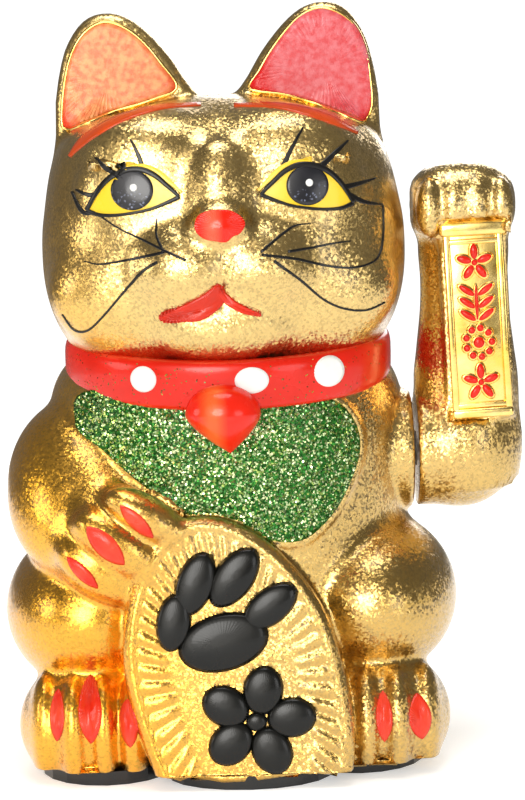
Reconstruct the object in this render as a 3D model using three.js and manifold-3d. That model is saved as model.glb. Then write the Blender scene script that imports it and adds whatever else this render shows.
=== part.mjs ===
// A gold beckoning cat figurine with a battery-driven waving arm.
// Millimetres, +Z up, the cat faces -Y, and its raised left arm is on +X.
// The origin is the centre of the face that the base plate rests on.
import * as THREE from "three";
import { mergeVertices } from "three/addons/utils/BufferGeometryUtils.js";
import Module from "manifold-3d";

const wasm = await Module();
wasm.setup();

// ---------------------------------------------------------------- driving dimensions
const WALL = 2.4; // moulded wall of the body casing
const ARM_WALL = 1.8; // moulded wall of the waving arm
const GAP = 0.3; // clearance left between separate pieces
const BASE_THICK = 5; // floor of the black base plate
const SHELL_FOOT = BASE_THICK + GAP; // lower edge of the gold casing
const EAR_TOP = 276; // overall height
const HEAD = { at: [0, -3, 190], radii: [67.5, 55, 56] };
const EAR = { peak: 38.5, inner: 8, outer: 59.5, foot: 205, front: -11, back: 9 };
const NECK = { rx: 58, depth: 0.84, low: 132, high: 158 };
const COLLAR = { rx: 61, mid: 145.5, half: 9, tilt: 11 };
const COIN = { at: [0.5, -53.5, 38], rx: 38, rz: 59.5, thick: 24, tilt: 12.4, lean: -5 };
const SIDE_FACE = 69.5; // flat of the body that the arm's round end faces
const PIVOT_Z = 112; // height of the arm shaft, which lies along X at y = 0
const SHAFT_R = 1.5;
const ARM = { inner: 71.2, centre: 90.7, end_r: 21.5, top: 220 };
const PLAQUE = { x: 93.7, z: 161.8, wide: 22, tall: 73, thick: 2.2, front: -20, tilt: -2.25 };
const BAY = { x: [-41, -4], y: [-27, 35], high: 21, wall: 2.5 }; // battery compartment
const CELL = { r: 7.1, long: 49.2, nub_r: 2.7, nub: 1.2 }; // AA size
const FRAME = { x: [6, 50], y: 14, upright: 3 }; // the U that carries the arm shaft
const PENDULUM_X = 28; // plane that the magnet swings in
const SWING = { side: 10.6, reach: 91, travel: 47.6, top: 70 }; // space it needs
const BOARD_Z = 11.4;

// ---------------------------------------------------------------- finishes
const finish = (color, roughness, metalness) =>
  new THREE.MeshStandardMaterial({ color, roughness, metalness });
const GOLD = finish(0xd9a92c, 0.35, 0.9);
const BRIGHT_GOLD = finish(0xf0cf55, 0.12, 1.0);
const BLACK_PLASTIC = finish(0x16140f, 0.4, 0.0);
const GREY_PLASTIC = finish(0xc8c8c2, 0.5, 0.0);
const STEEL = finish(0xb9bcc0, 0.3, 1.0);
const BRASS = finish(0xc9a24a, 0.35, 1.0);
const COPPER = finish(0xb5632c, 0.35, 1.0);
const FERRITE = finish(0x2f3033, 0.6, 0.2);
const BOARD_GREEN = finish(0x2c6b3a, 0.5, 0.0);
const CELL_SLEEVE = finish(0x3a6ea8, 0.35, 0.1);
const RED_SLEEVE = finish(0xb3201c, 0.5, 0.0);
const BLACK_SLEEVE = finish(0x1a1a1a, 0.5, 0.0);

// ---------------------------------------------------------------- solids from geometries
const rad = THREE.MathUtils.degToRad;

// A closed three.js geometry as a solid that can be joined and cut.
function solid(geometry) {
  geometry.deleteAttribute("normal");
  geometry.deleteAttribute("uv");
  const g = mergeVertices(geometry, 1e-4);
  const mesh = new wasm.Mesh({
    numProp: 3,
    vertProperties: new Float32Array(g.attributes.position.array),
    triVerts: new Uint32Array(g.index.array),
  });
  return new wasm.Manifold(mesh);
}

const join = (...solids) => solids.reduce((all, s) => all.add(s));
const cut = (from, ...tools) => tools.reduce((rest, s) => rest.subtract(s), from);

function mesh(name, made, material) {
  const m = made.getMesh();
  const g = new THREE.BufferGeometry();
  g.setAttribute("position", new THREE.BufferAttribute(m.vertProperties, 3));
  g.setIndex(new THREE.BufferAttribute(m.triVerts, 1));
  const flat = g.toNonIndexed();
  flat.computeVertexNormals();
  const piece = new THREE.Mesh(flat, material);
  piece.name = name;
  return piece;
}

// A stretched sphere, the soft form that most of the figure is blended from. turn is in degrees.
function blob([x, y, z], [rx, ry, rz], { inset = 0, detail = 18, turn = [0, 0, 0] } = {}) {
  const g = new THREE.SphereGeometry(1, detail, Math.round(detail * 0.6));
  g.rotateX(Math.PI / 2);
  g.scale(rx - inset, ry - inset, rz - inset);
  g.applyMatrix4(
    new THREE.Matrix4().makeRotationFromEuler(new THREE.Euler(...turn.map(rad), "XYZ")),
  );
  g.translate(x, y, z);
  return solid(g);
}

function box([x0, x1], [y0, y1], [z0, z1]) {
  const g = new THREE.BoxGeometry(x1 - x0, y1 - y0, z1 - z0);
  g.translate((x0 + x1) / 2, (y0 + y1) / 2, (z0 + z1) / 2);
  return solid(g);
}

// A cylinder along an axis, from one end to the other of that axis.
function rod(axis, [a, b], [u, v], r, sides = 20) {
  const g = new THREE.CylinderGeometry(r, r, b - a, sides);
  if (axis === "x") g.rotateZ(-Math.PI / 2).translate((a + b) / 2, u, v);
  if (axis === "y") g.translate(u, (a + b) / 2, v);
  if (axis === "z") g.rotateX(Math.PI / 2).translate(u, v, (a + b) / 2);
  return solid(g);
}

// A profile of [radius, z] turned about a vertical axis, then squeezed in Y by depth.
function turned(profile, [x, y], { depth = 1, sides = 32 } = {}) {
  const g = new THREE.LatheGeometry(
    profile.map(([r, z]) => new THREE.Vector2(r, z)),
    sides,
  );
  g.rotateX(Math.PI / 2);
  g.scale(1, depth, 1);
  g.translate(x, y, 0);
  return solid(g);
}

// An elliptical plate standing between two heights.
function ovalPlate([x, y], [rx, ry], [z0, z1], sides = 32) {
  const g = new THREE.CylinderGeometry(1, 1, z1 - z0, sides);
  g.rotateX(Math.PI / 2).scale(rx, ry, 1).translate(x, y, (z0 + z1) / 2);
  return solid(g);
}

// ---------------------------------------------------------------- the figure's outer forms
// Every form takes an inset, so that the same list makes the outside and the hollow.
function torso(inset) {
  const outline = [
    [58, 0], [61, 14], [64, 40], [66.5, 75], [67.5, 105], [67, 130], [64, 141], [57, 149], [38, 158],
  ];
  const profile = outline.map(([r, z]) => [r - inset, Math.min(z, 158 - inset)]);
  return turned([[0, 0], ...profile, [0, 158 - inset]], [0, 4], {
    depth: (57 - inset) / (66.5 - inset),
    sides: inset ? 16 : 28,
  });
}

function neck(inset) {
  const r = NECK.rx - inset;
  const top = NECK.high - inset;
  return turned([[0, NECK.low], [r, NECK.low], [r, top], [0, top]], [0, 0], {
    depth: NECK.depth,
    sides: inset ? 16 : 28,
  });
}

function head(inset) {
  const detail = inset ? 12 : 24;
  const crown = blob(HEAD.at, HEAD.radii, { inset, detail });
  const cheeks = [-1, 1].map((side) =>
    blob([side * 33, -8, 178], [34.5, 42, 36], { inset, detail: inset ? 10 : 16 }),
  );
  return join(crown, ...cheeks);
}

function earOutline(inset) {
  const { peak, inner, outer, foot } = EAR;
  const s = new THREE.Shape();
  s.moveTo(outer - inset, foot);
  s.lineTo(outer - inset, 238);
  s.bezierCurveTo(outer - inset, 258, peak + 15 - inset, EAR_TOP - inset, peak, EAR_TOP - inset);
  s.bezierCurveTo(peak - 10 + inset, EAR_TOP - inset, inner + 4 + inset, 256, inner + inset, 242);
  s.lineTo(inner + inset, foot);
  return s;
}

// The ears are rounded triangular plates that stand up out of the crown.
function ear(side, inset) {
  const bevel = inset ? 0 : 3.5;
  const g = new THREE.ExtrudeGeometry(earOutline(inset + bevel), {
    depth: EAR.back - EAR.front - 2 * inset - 2 * bevel,
    curveSegments: inset ? 4 : 7,
    bevelEnabled: bevel > 0,
    bevelSize: bevel,
    bevelThickness: bevel,
    bevelSegments: 2,
  });
  g.rotateX(Math.PI / 2);
  g.translate(0, EAR.back - inset - bevel, 0);
  const made = solid(g);
  return side > 0 ? made : made.mirror([1, 0, 0]);
}

function haunch(side, inset) {
  const options = { inset, detail: inset ? 10 : 18 };
  return blob([side * 52, -8, side > 0 ? 59 : 57], [32.7, 46, 31], options);
}

const TOES = { "-1": [-69, -58.5, -47.5, -37], 1: [69.5, 58.5, 47.5] };

function foot(side, inset) {
  const pad = blob([side * 54, -33, 18], [25.5, 29, 24], { inset, detail: inset ? 8 : 12 });
  if (inset) return pad;
  const toes = TOES[side].map((x, i) => {
    const outermost = i === 0;
    return blob([x, outermost ? -41 : -47, 19], [7, 13, 19], { detail: 8 });
  });
  return join(pad, ...toes);
}

// The lowered right arm lies across the belly and its paw holds the coin.
function bentArm(inset) {
  const detail = inset ? 10 : 16;
  const shoulder = blob([-53, -9, 103], [29.3, 35, 34], { inset, detail });
  const forearm = blob([-50, -39, 88], [30, 18, 19], { inset, detail, turn: [0, 28, -38] });
  if (inset) return join(shoulder, forearm);
  const fingers = [0, 1, 2, 3].map((i) =>
    blob([-27 - i * 5.6, -62 + i * 1.6, 87 - i * 8], [15, 8, 6.4], {
      detail: 8,
      turn: [0, 38, 0],
    }),
  );
  return join(shoulder, forearm, ...fingers);
}

function coin(inset) {
  const g = new THREE.CylinderGeometry(1, 1, COIN.thick - 2 * inset, inset ? 18 : 32);
  g.scale(COIN.rx - inset, 1, COIN.rz - inset);
  g.rotateX(rad(COIN.lean));
  g.rotateY(rad(-COIN.tilt));
  g.translate(...COIN.at);
  return solid(g);
}

function bib() {
  const lobes = [
    [[23, -31, 112], [27, 22.5, 26]],
    [[-18, -31, 116], [36, 22.5, 22]],
  ];
  return join(...lobes.map(([at, radii]) => blob(at, radii, { detail: 14 })));
}

// The collar slopes down towards the front.
function collar() {
  const { rx, mid, half, tilt } = COLLAR;
  const band = [
    [0, -half], [rx - 3, -half], [rx, -half + 4], [rx, half - 4], [rx - 3, half], [0, half],
  ];
  const ring = turned(band, [0, 0], { depth: NECK.depth, sides: 28 });
  return ring.rotate([tilt, 0, 0]).translate([0, 0, mid]);
}

function bell() {
  return blob([-1, -53.5, 132], [14.2, 11, 12.5], { detail: 12 });
}

function muzzle() {
  const nose = blob([0, -59, 200], [9.5, 6, 6], { detail: 8 });
  return join(nose, blob([0, -47, 184], [27, 15.5, 17], { detail: 12 }));
}

function tail() {
  const bends = [
    [[16, 55, 17], [10, 12, 9]],
    [[25, 57, 24], [9, 10, 12]],
    [[27, 55, 36], [8, 9, 11]],
  ];
  return join(...bends.map(([at, radii]) => blob(at, radii, { detail: 10 })));
}

// The flat round face on the body's left side, behind the waving arm.
const shoulderFace = (inset) => rod("x", [20, SIDE_FACE - inset], [0, PIVOT_Z], 22.5 - inset, 22);

// Posts inside the casing that take the base screws, each on a rib that runs out to the wall.
const SHELL_SCREWS = [[-44, -32], [46, -26], [-34, 43], [34, 43]];
const POST = { r: 4.2, pilot: 1, high: 24, rib: 2 };

function screwPosts() {
  const posts = SHELL_SCREWS.map(([x, y]) => {
    const rib = box([0, 34], [-POST.rib / 2, POST.rib / 2], [SHELL_FOOT, POST.high]);
    const outward = (Math.atan2(y, x) * 180) / Math.PI;
    const turnedRib = rib.rotate([0, 0, outward]).translate([x, y, 0]);
    return join(rod("z", [SHELL_FOOT, POST.high], [x, y], POST.r, 10), turnedRib);
  });
  return join(...posts);
}

// Room for the magnet's lever, which swings further forward than the belly wall.
function pendulumSpace() {
  const { side, reach, travel, top } = SWING;
  const sweep = rod("x", [PENDULUM_X - side, PENDULUM_X + side], [0, PIVOT_Z], reach, 40);
  return sweep.intersect(box([0, 60], [-travel, travel], [SHELL_FOOT + WALL, top]));
}

function casing() {
  const outside = join(
    torso(0), neck(0), head(0), ear(-1, 0), ear(1, 0), haunch(-1, 0), haunch(1, 0),
    foot(-1, 0), foot(1, 0), bentArm(0), coin(0), bib(), collar(), bell(), muzzle(), tail(),
    shoulderFace(0),
  );
  // The feet and the coin are closed underneath, where they overhang the base plate.
  const aboveFeet = box([-120, 120], [-120, 120], [SHELL_FOOT + WALL, 300]);
  const limbs = join(
    haunch(-1, WALL), haunch(1, WALL), foot(-1, WALL), foot(1, WALL), bentArm(WALL), coin(WALL),
  ).intersect(aboveFeet);
  const hollow = join(
    torso(WALL), neck(WALL), head(WALL), ear(-1, WALL + 0.6), ear(1, WALL + 0.6), limbs,
    shoulderFace(WALL), pendulumSpace(),
  );
  const posts = screwPosts().intersect(outside);
  const pilots = SHELL_SCREWS.map(([x, y]) => rod("z", [-1, 15], [x, y], POST.pilot, 6));
  const shaftHole = rod("x", [60, 75], [0, PIVOT_Z], 4.5, 16);
  const below = box([-120, 120], [-120, 120], [-60, SHELL_FOOT]);
  return cut(join(cut(outside, hollow), posts), below, shaftHole, ...pilots);
}

// The casing is moulded as a front and a rear half that meet on the plane y = 0.
function casingHalves() {
  const whole = casing();
  const half = (low, high) => box([-130, 130], [low, high], [-10, 300]);
  return [
    mesh("front_shell", whole.intersect(half(-130, -GAP / 2)), GOLD),
    mesh("rear_shell", whole.intersect(half(GAP / 2, 130)), GOLD),
  ];
}

// ---------------------------------------------------------------- base plate and battery bay
const COVER = { x: [-38.2, -6.8], y: [-24.2, 31.6], z: [0.6, 2.6] };
const COVER_PIN = { y: 30.2, z: 2, r: 0.9, reach: 1.4 };
const SWITCH = { x: 28, y: 32, slot: [9, 4.4] };
const FRAME_SCREWS = [[12, -9], [12, 9], [44, -9], [44, 9]];

function screwSeat([x, y]) {
  return join(rod("z", [-1, 2.2], [x, y], 3.1, 12), rod("z", [-1, 8], [x, y], 1.6, 8));
}

function basePlate() {
  const outline = join(
    ovalPlate([0, 4], [62, 54], [0, BASE_THICK], 32),
    ovalPlate([-47, -29], [25, 28], [0, BASE_THICK], 20),
    ovalPlate([45, -24], [25, 27], [0, BASE_THICK], 20),
    ovalPlate([5, -46], [30, 23], [0, BASE_THICK], 20),
  );
  const [bx, by] = [BAY.x, BAY.y];
  const w = BAY.wall;
  const rim = cut(
    ovalPlate([0, 4], [53.5, 45.5], [1, 10], 28),
    ovalPlate([0, 4], [51.5, 43.5], [0, 12], 28),
    ...SHELL_SCREWS.map(([x, y]) => rod("z", [BASE_THICK, 12], [x, y], 7.5, 12)),
    ...SHELL_SCREWS.map(([x, y]) =>
      box([x > 0 ? x : -70, x > 0 ? 70 : x], [y > 0 ? y - 7 : -60, y > 0 ? 60 : y + 7], [4, 12]),
    ),
    box([FRAME.x[0], FRAME.x[1] + 2], [-FRAME.y - 2, FRAME.y + 2], [BASE_THICK, 12]),
  );
  const bay = box(bx, by, [0, BAY.high]);
  const pocket = box([bx[0] + w, bx[1] - w], [by[0] + w, by[1] - w], [-1, BAY.high - 2]);
  const tabSlots = [by[0] + w + 0.6, by[1] - w - 0.6].flatMap((y) =>
    CELL_X.map((x) => box([x - 2.2, x + 2.2], [y - 0.7, y + 0.7], [BAY.high - 4, BAY.high + 1])),
  );
  const pinReach = [COVER.x[0] - COVER_PIN.reach - GAP, COVER.x[1] + COVER_PIN.reach + GAP];
  const pinHole = rod("x", pinReach, [COVER_PIN.y, COVER_PIN.z], COVER_PIN.r + 0.35, 14);
  const [sx, sy] = SWITCH.slot;
  const slot = box(
    [SWITCH.x - sx / 2, SWITCH.x + sx / 2], [SWITCH.y - sy / 2, SWITCH.y + sy / 2], [-1, 6],
  );
  const fingerWell = box(
    [SWITCH.x - 8, SWITCH.x + 8], [SWITCH.y - 4.5, SWITCH.y + 4.5], [-1, 1.6],
  );
  const thumbNotch = rod("y", [-31, -24], [-22.5, -1.2], 3.2, 16);
  const seats = [...SHELL_SCREWS, ...FRAME_SCREWS].map(screwSeat);
  const plate = join(outline, rim, bay);
  return cut(plate, pocket, ...tabSlots, pinHole, slot, fingerWell, thumbNotch, ...seats);
}

function batteryCover() {
  const pinSpan = [COVER.x[0] - COVER_PIN.reach, COVER.x[1] + COVER_PIN.reach];
  const plate = box(COVER.x, [COVER.y[0], COVER_PIN.y], COVER.z);
  const pin = rod("x", pinSpan, [COVER_PIN.y, COVER_PIN.z], COVER_PIN.r, 14);
  const knuckle = rod("x", COVER.x, [COVER_PIN.y, (COVER.z[0] + COVER.z[1]) / 2], 1, 14);
  const grooves = [0, 1, 2].map((i) =>
    box([-30, -15], [-21 + 3 * i, -20 + 3 * i], [0, 1.1]),
  );
  return cut(join(plate, pin, knuckle), ...grooves);
}

const CELL_X = [-30.3, -14.7];
const CELL_Z = 10.4;

// An AA cell along Y; facing is +1 when its positive nub points to +Y.
function cell(x, facing) {
  const mid = (BAY.y[0] + BAY.y[1]) / 2 + facing * 1.55;
  const can = rod("y", [mid - CELL.long / 2, mid + CELL.long / 2], [x, CELL_Z], CELL.r, 24);
  const end = mid + (facing * CELL.long) / 2;
  const nub = facing > 0 ? [end - 0.2, end + CELL.nub] : [end - CELL.nub, end + 0.2];
  return join(can, rod("y", nub, [x, CELL_Z], CELL.nub_r, 12));
}

// A contact plate standing against an end wall of the bay, with its solder tab up through the slot.
function contactPlate(end, xs) {
  const y = end < 0 ? BAY.y[0] + BAY.wall + 0.6 : BAY.y[1] - BAY.wall - 0.6;
  const [x0, x1] = [Math.min(...xs) - 5, Math.max(...xs) + 5];
  const plate = box([x0, x1], [y - 0.25, y + 0.25], [4, 16.5]);
  const tab = box([xs[0] - 1.2, xs[0] + 1.2], [y - 0.25, y + 0.25], [16, 24]);
  return join(plate, tab);
}

// A wound spring along Y that tapers towards the cell.
function contactSpring(x, end) {
  const plateY = end < 0 ? BAY.y[0] + BAY.wall + 0.6 : BAY.y[1] - BAY.wall - 0.6;
  const turns = 2.5;
  const long = 3.25;
  const steps = turns * 8;
  const points = Array.from({ length: steps + 1 }, (_, i) => {
    const t = i / steps;
    const r = 4.6 - 1.8 * t;
    const a = t * turns * 2 * Math.PI;
    const y = plateY - end * (0.95 + t * long);
    return new THREE.Vector3(x + r * Math.cos(a), y, CELL_Z + r * Math.sin(a));
  });
  return wire(points, 0.35, steps, 4);
}

// ---------------------------------------------------------------- drive
// A round wire or lead that follows a smooth line through its points.
function wire(points, r, steps, sides = 8) {
  const section = new THREE.Shape(
    Array.from({ length: sides }, (_, i) => {
      const a = (i / sides) * 2 * Math.PI;
      return new THREE.Vector2(r * Math.cos(a), r * Math.sin(a));
    }),
  );
  const extrudePath = new THREE.CatmullRomCurve3(points);
  return solid(new THREE.ExtrudeGeometry(section, { steps, extrudePath, bevelEnabled: false }));
}

const BUSH = { r: 3.2, bore: 1.75, flange: 4.6 };

function pivotFrame() {
  const [x0, x1] = FRAME.x;
  const floor = box([x0, x1], [-FRAME.y, FRAME.y], [SHELL_FOOT, 7.6]);
  const side = new THREE.Shape();
  side.moveTo(-FRAME.y, SHELL_FOOT);
  side.lineTo(FRAME.y, SHELL_FOOT);
  side.lineTo(7, PIVOT_Z);
  side.absarc(0, PIVOT_Z, 7, 0, Math.PI, false);
  side.lineTo(-FRAME.y, SHELL_FOOT);
  const window_ = new THREE.Path();
  window_.moveTo(-9, 22);
  window_.lineTo(-5, 96);
  window_.lineTo(5, 96);
  window_.lineTo(9, 22);
  side.holes.push(window_);
  const upright = (x) => {
    const g = new THREE.ExtrudeGeometry(side, {
      depth: FRAME.upright, bevelEnabled: false, curveSegments: 8,
    });
    g.rotateY(Math.PI / 2).rotateX(Math.PI / 2).translate(x, 0, 0);
    return solid(g);
  };
  const bosses = FRAME_SCREWS.map((at) => rod("z", [SHELL_FOOT, BOARD_Z - GAP], at, 3.4, 10));
  const pilots = FRAME_SCREWS.map((at) => rod("z", [0, BOARD_Z + 1], at, 1, 8));
  const seats = bearingPlanes().map((x) =>
    rod("x", [x - 3, x + 3], [0, PIVOT_Z], BUSH.r + GAP, 20),
  );
  const whole = join(floor, upright(x0), upright(x1 - FRAME.upright), ...bosses);
  return cut(whole, ...seats, ...pilots);
}

const bearingPlanes = () => [FRAME.x[0] + FRAME.upright / 2, FRAME.x[1] - FRAME.upright / 2];

// A flanged bush pressed into an upright; outward is the side that its flange is on.
function bearingBush(x, outward) {
  const half = FRAME.upright / 2;
  const face = half + GAP;
  const span = (from, to) => (outward > 0 ? [x + from, x + to] : [x - to, x - from]);
  const barrel = rod("x", span(-half, face + 0.5), [0, PIVOT_Z], BUSH.r, 16);
  const flange = rod("x", span(face, face + 1), [0, PIVOT_Z], BUSH.flange, 20);
  return cut(join(barrel, flange), rod("x", [x - 6, x + 6], [0, PIVOT_Z], BUSH.bore, 16));
}

function shaftCollar(x) {
  const ring = rod("x", [x - 1, x + 1], [0, PIVOT_Z], 3, 16);
  return cut(ring, rod("x", [x - 3, x + 3], [0, PIVOT_Z], SHAFT_R + GAP, 16));
}

function armShaft() {
  return rod("x", [1.5, 93], [0, PIVOT_Z], SHAFT_R, 16);
}

const MAGNET = { r: 8, low: 23, high: 28 };

// The lever hangs from the shaft and ends in the cup that holds the magnet.
function pendulumLever() {
  const x = PENDULUM_X;
  const hub = rod("x", [x - 5, x + 5], [0, PIVOT_Z], 6, 20);
  const stem = box([x - 2, x + 2], [-4, 4], [30, PIVOT_Z]);
  const cup = rod("z", [MAGNET.low + 1, 33], [x, 0], MAGNET.r + 2, 24);
  const seat = rod("z", [0, MAGNET.high + GAP], [x, 0], MAGNET.r + GAP, 24);
  const bore = rod("x", [x - 9, x + 9], [0, PIVOT_Z], SHAFT_R + GAP, 16);
  return cut(join(hub, stem, cup), seat, bore);
}

// The slug clips onto the stem from behind, so that it also balances the arm's heavier front.
function counterweight() {
  const x = PENDULUM_X;
  const slug = rod("z", [35, 55], [x, 6], 9.4, 20);
  return cut(slug, box([x - 2 - GAP, x + 2 + GAP], [-4 - GAP, 4 + GAP], [30, 60]));
}

const COIL = { low: BOARD_Z + 1.5, high: BOARD_Z + 9.5, core: 4, r: 10 };

function coilBobbin() {
  const x = PENDULUM_X;
  const spool = join(
    rod("z", [COIL.low, COIL.low + 1], [x, 0], COIL.r + 0.6, 24),
    rod("z", [COIL.low, COIL.high], [x, 0], COIL.core, 24),
    rod("z", [COIL.high - 1, COIL.high], [x, 0], COIL.r + 0.6, 24),
  );
  return cut(spool, rod("z", [0, 40], [x, 0], 2.4, 16));
}

function coilWinding() {
  const span = [COIL.low + 1 + GAP, COIL.high - 1 - GAP];
  const x = PENDULUM_X;
  return cut(
    rod("z", span, [x, 0], COIL.r, 24),
    rod("z", [0, 40], [x, 0], COIL.core + GAP, 24),
  );
}

const BOARD_SCREWS = [[12, -9], [44, 9]];

function driveBoard() {
  const board = box([FRAME.x[0] + 3.6, FRAME.x[1] - 3.6], [-12.5, 12.5], [BOARD_Z, BOARD_Z + 1.2]);
  return cut(board, ...BOARD_SCREWS.map(([x, y]) => rod("z", [0, 30], [x, y], 1.4, 12)));
}

const boardTop = BOARD_Z + 1.2 + GAP;
const transistor = () => box([13, 17], [3, 6], [boardTop, boardTop + 4.5]);
const capacitor = () => rod("z", [boardTop, boardTop + 6], [43.2, -6], 2.5, 16);

// A pan-head screw along Z with its head at the lower or the upper end.
function screw([x, y], head, tip) {
  const up = Math.sign(tip - head);
  const under = head + up * 1.6;
  const span = (a, b) => [Math.min(a, b), Math.max(a, b)];
  const crown = rod("z", span(head, under), [x, y], 2.7, 12);
  const shank = rod("z", span(under - up * 0.5, tip), [x, y], 0.7, 8);
  const sunk = span(head - up, head + up * 0.9);
  const recess = join(
    box([x - 1.5, x + 1.5], [y - 0.35, y + 0.35], sunk),
    box([x - 0.35, x + 0.35], [y - 1.5, y + 1.5], sunk),
  );
  return cut(join(crown, shank), recess);
}

function switchCan() {
  const { x, y } = SWITCH;
  const can = box([x - 7, x + 7], [y - 3.2, y + 3.2], [BASE_THICK + GAP, BASE_THICK + 5]);
  const hollow = box([x - 6, x + 6], [y - 2.4, y + 2.4], [0, BASE_THICK + 4]);
  return cut(can, hollow);
}

// The slider's stem rises into the switch; its ribbed thumb tab stays above the resting face.
function switchSlider() {
  const { x, y } = SWITCH;
  const tab = box([x - 3.9, x - 0.1], [y - 1.7, y + 1.7], [0.6, 8]);
  const ribs = [0, 1].map((i) => box([x - 3 + i * 1.6, x - 2.4 + i * 1.6], [y - 2, y + 2], [0, 1]));
  return cut(tab, ...ribs);
}

// ---------------------------------------------------------------- waving arm
// The plaque lies in a flat seat across the front of the limb, turned with it about the plaque.
function turnedWithPlaque(made) {
  const { x, z, tilt } = PLAQUE;
  return made.translate([-x, 0, -z]).rotate([0, tilt, 0]).translate([x, 0, z]);
}

function armForm(inset) {
  const { centre, top } = ARM;
  const detail = inset ? 10 : 18;
  const outline = [[19, 100], [19.8, 137], [18.4, 150], [16.5, 165], [16.1, 176], [17.4, 193]];
  const limb = turned(
    [[0, 100], ...outline.map(([r, z]) => [r - inset, Math.min(z, 193 - inset)]), [0, 193 - inset]],
    [centre, 0],
    { depth: 0.9, sides: inset ? 12 : 20 },
  );
  const elbow = blob([88, 0, 113], [22.5, 22, 23.5], { inset, detail });
  const roundEnd = rod("x", [ARM.inner + inset, 86], [0, PIVOT_Z], ARM.end_r - inset, 22);
  const paw = blob([centre, -4, 203], [18.9, 21, top - 203], { inset, detail });
  const inward = box([40, ARM.inner + inset], [-60, 60], [60, 240]);
  const { x, z, wide, tall } = PLAQUE;
  const seatFace = PLAQUE.front + PLAQUE.thick + GAP + inset;
  const half = wide / 2 + 1.4 + inset;
  const reach = tall / 2 + 1 + inset;
  const seat = turnedWithPlaque(box([x - half, x + half], [-60, seatFace], [z - reach, z + reach]));
  const forms = [limb, elbow, roundEnd, paw];
  if (inset) return cut(join(...forms), inward, seat);
  const pad = box([x - half, x + half], [seatFace, -4], [z - reach, z + reach]);
  const fingers = [0, 1, 2, 3].map((i) =>
    blob([centre - 13.2 + 8.8 * i, -18, 207], [4.9, 8, 8], { detail: 8 }),
  );
  return cut(join(...forms, turnedWithPlaque(pad), ...fingers), inward, seat);
}

const HUB = { r: 6.5, x: [ARM.inner - 0.2, 92], flange: 9 };

function wavingArmHalves() {
  const hole = rod("x", [60, 80], [0, PIVOT_Z], HUB.r + GAP, 20);
  const whole = cut(armForm(0), armForm(ARM_WALL), hole);
  const half = (low, high) => box([60, 130], [low, high], [60, 240]);
  return [
    mesh("arm_front_shell", whole.intersect(half(-60, -GAP / 2)), GOLD),
    mesh("arm_rear_shell", whole.intersect(half(GAP / 2, 60)), GOLD),
  ];
}

// The hub keys the hollow arm to the shaft.
function armHub() {
  const sleeve = rod("x", HUB.x, [0, PIVOT_Z], HUB.r, 20);
  const inside = ARM.inner + ARM_WALL + GAP;
  const flange = rod("x", [inside, inside + 2.5], [0, PIVOT_Z], HUB.flange, 20);
  const bore = rod("x", [60, 100], [0, PIVOT_Z], SHAFT_R + GAP, 16);
  const pilot = rod("x", [93 + GAP, 110], [0, PIVOT_Z], 1, 10);
  return cut(join(sleeve, flange), bore, pilot);
}

// The plaque has a raised frame, a lip at each end and a column of plain raised beads.
function armPlaque() {
  const { x, z, wide, tall, thick, front } = PLAQUE;
  const back = front + thick;
  const [low, high] = [z - tall / 2, z + tall / 2];
  const [left, right] = [x - wide / 2, x + wide / 2];
  const plate = box([left, right], [front, back], [low, high]);
  const panel = box([left + 2.6, right - 2.6], [front - 1, front + 1], [low + 5, high - 6]);
  const lips = [
    box([left - 1, right + 1], [front - 1.6, back], [high - 4, high]),
    box([left - 0.5, right + 0.5], [front - 1.2, back], [low, low + 3]),
  ];
  const beads = [0, 1, 2, 3].map((i) =>
    rod("y", [front - 0.4, back - 0.4], [x, z - 24.5 + i * 16], 5.6, 4 + 2 * (i % 2)),
  );
  return turnedWithPlaque(join(cut(plate, panel), ...lips, ...beads));
}

// ---------------------------------------------------------------- the assembly
const group = new THREE.Group();
group.add(...casingHalves());
group.add(mesh("base_plate", basePlate(), BLACK_PLASTIC));
group.add(mesh("battery_cover", batteryCover(), BLACK_PLASTIC));
group.add(mesh("battery_1", cell(CELL_X[0], 1), CELL_SLEEVE));
group.add(mesh("battery_2", cell(CELL_X[1], -1), CELL_SLEEVE));
group.add(mesh("contact_bridge", contactPlate(1, CELL_X), STEEL));
group.add(mesh("contact_positive", contactPlate(-1, [CELL_X[1]]), STEEL));
group.add(mesh("contact_negative", contactPlate(-1, [CELL_X[0]]), STEEL));
group.add(mesh("contact_spring_front", contactSpring(CELL_X[0], -1), STEEL));
group.add(mesh("contact_spring_rear", contactSpring(CELL_X[1], 1), STEEL));
group.add(mesh("switch_can", switchCan(), STEEL));
group.add(mesh("switch_slider", switchSlider(), BLACK_PLASTIC));
group.add(mesh("pivot_frame", pivotFrame(), GREY_PLASTIC));
bearingPlanes().forEach((x, i) => {
  const end = i ? "outer" : "inner";
  group.add(mesh(`bearing_bush_${end}`, bearingBush(x, i ? 1 : -1), BRASS));
  group.add(mesh(`shaft_collar_${end}`, shaftCollar(i ? 54.5 : 3), STEEL));
});
group.add(mesh("arm_shaft", armShaft(), STEEL));
group.add(mesh("pendulum_lever", pendulumLever(), GREY_PLASTIC));
group.add(mesh("counterweight", counterweight(), STEEL));
group.add(
  mesh("pendulum_magnet", rod("z", [MAGNET.low, MAGNET.high], [PENDULUM_X, 0], MAGNET.r, 24), FERRITE),
);
group.add(mesh("drive_board", driveBoard(), BOARD_GREEN));
group.add(mesh("coil_bobbin", coilBobbin(), GREY_PLASTIC));
group.add(mesh("coil_winding", coilWinding(), COPPER));
group.add(mesh("transistor", transistor(), BLACK_SLEEVE));
group.add(mesh("capacitor", capacitor(), BLACK_SLEEVE));
SHELL_SCREWS.forEach((at, i) => {
  group.add(mesh(`base_screw_${i + 1}`, screw(at, 0.4, 13), STEEL));
});
FRAME_SCREWS.forEach((at, i) => {
  group.add(mesh(`frame_screw_${i + 1}`, screw(at, 0.4, 8.4), STEEL));
});
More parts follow.
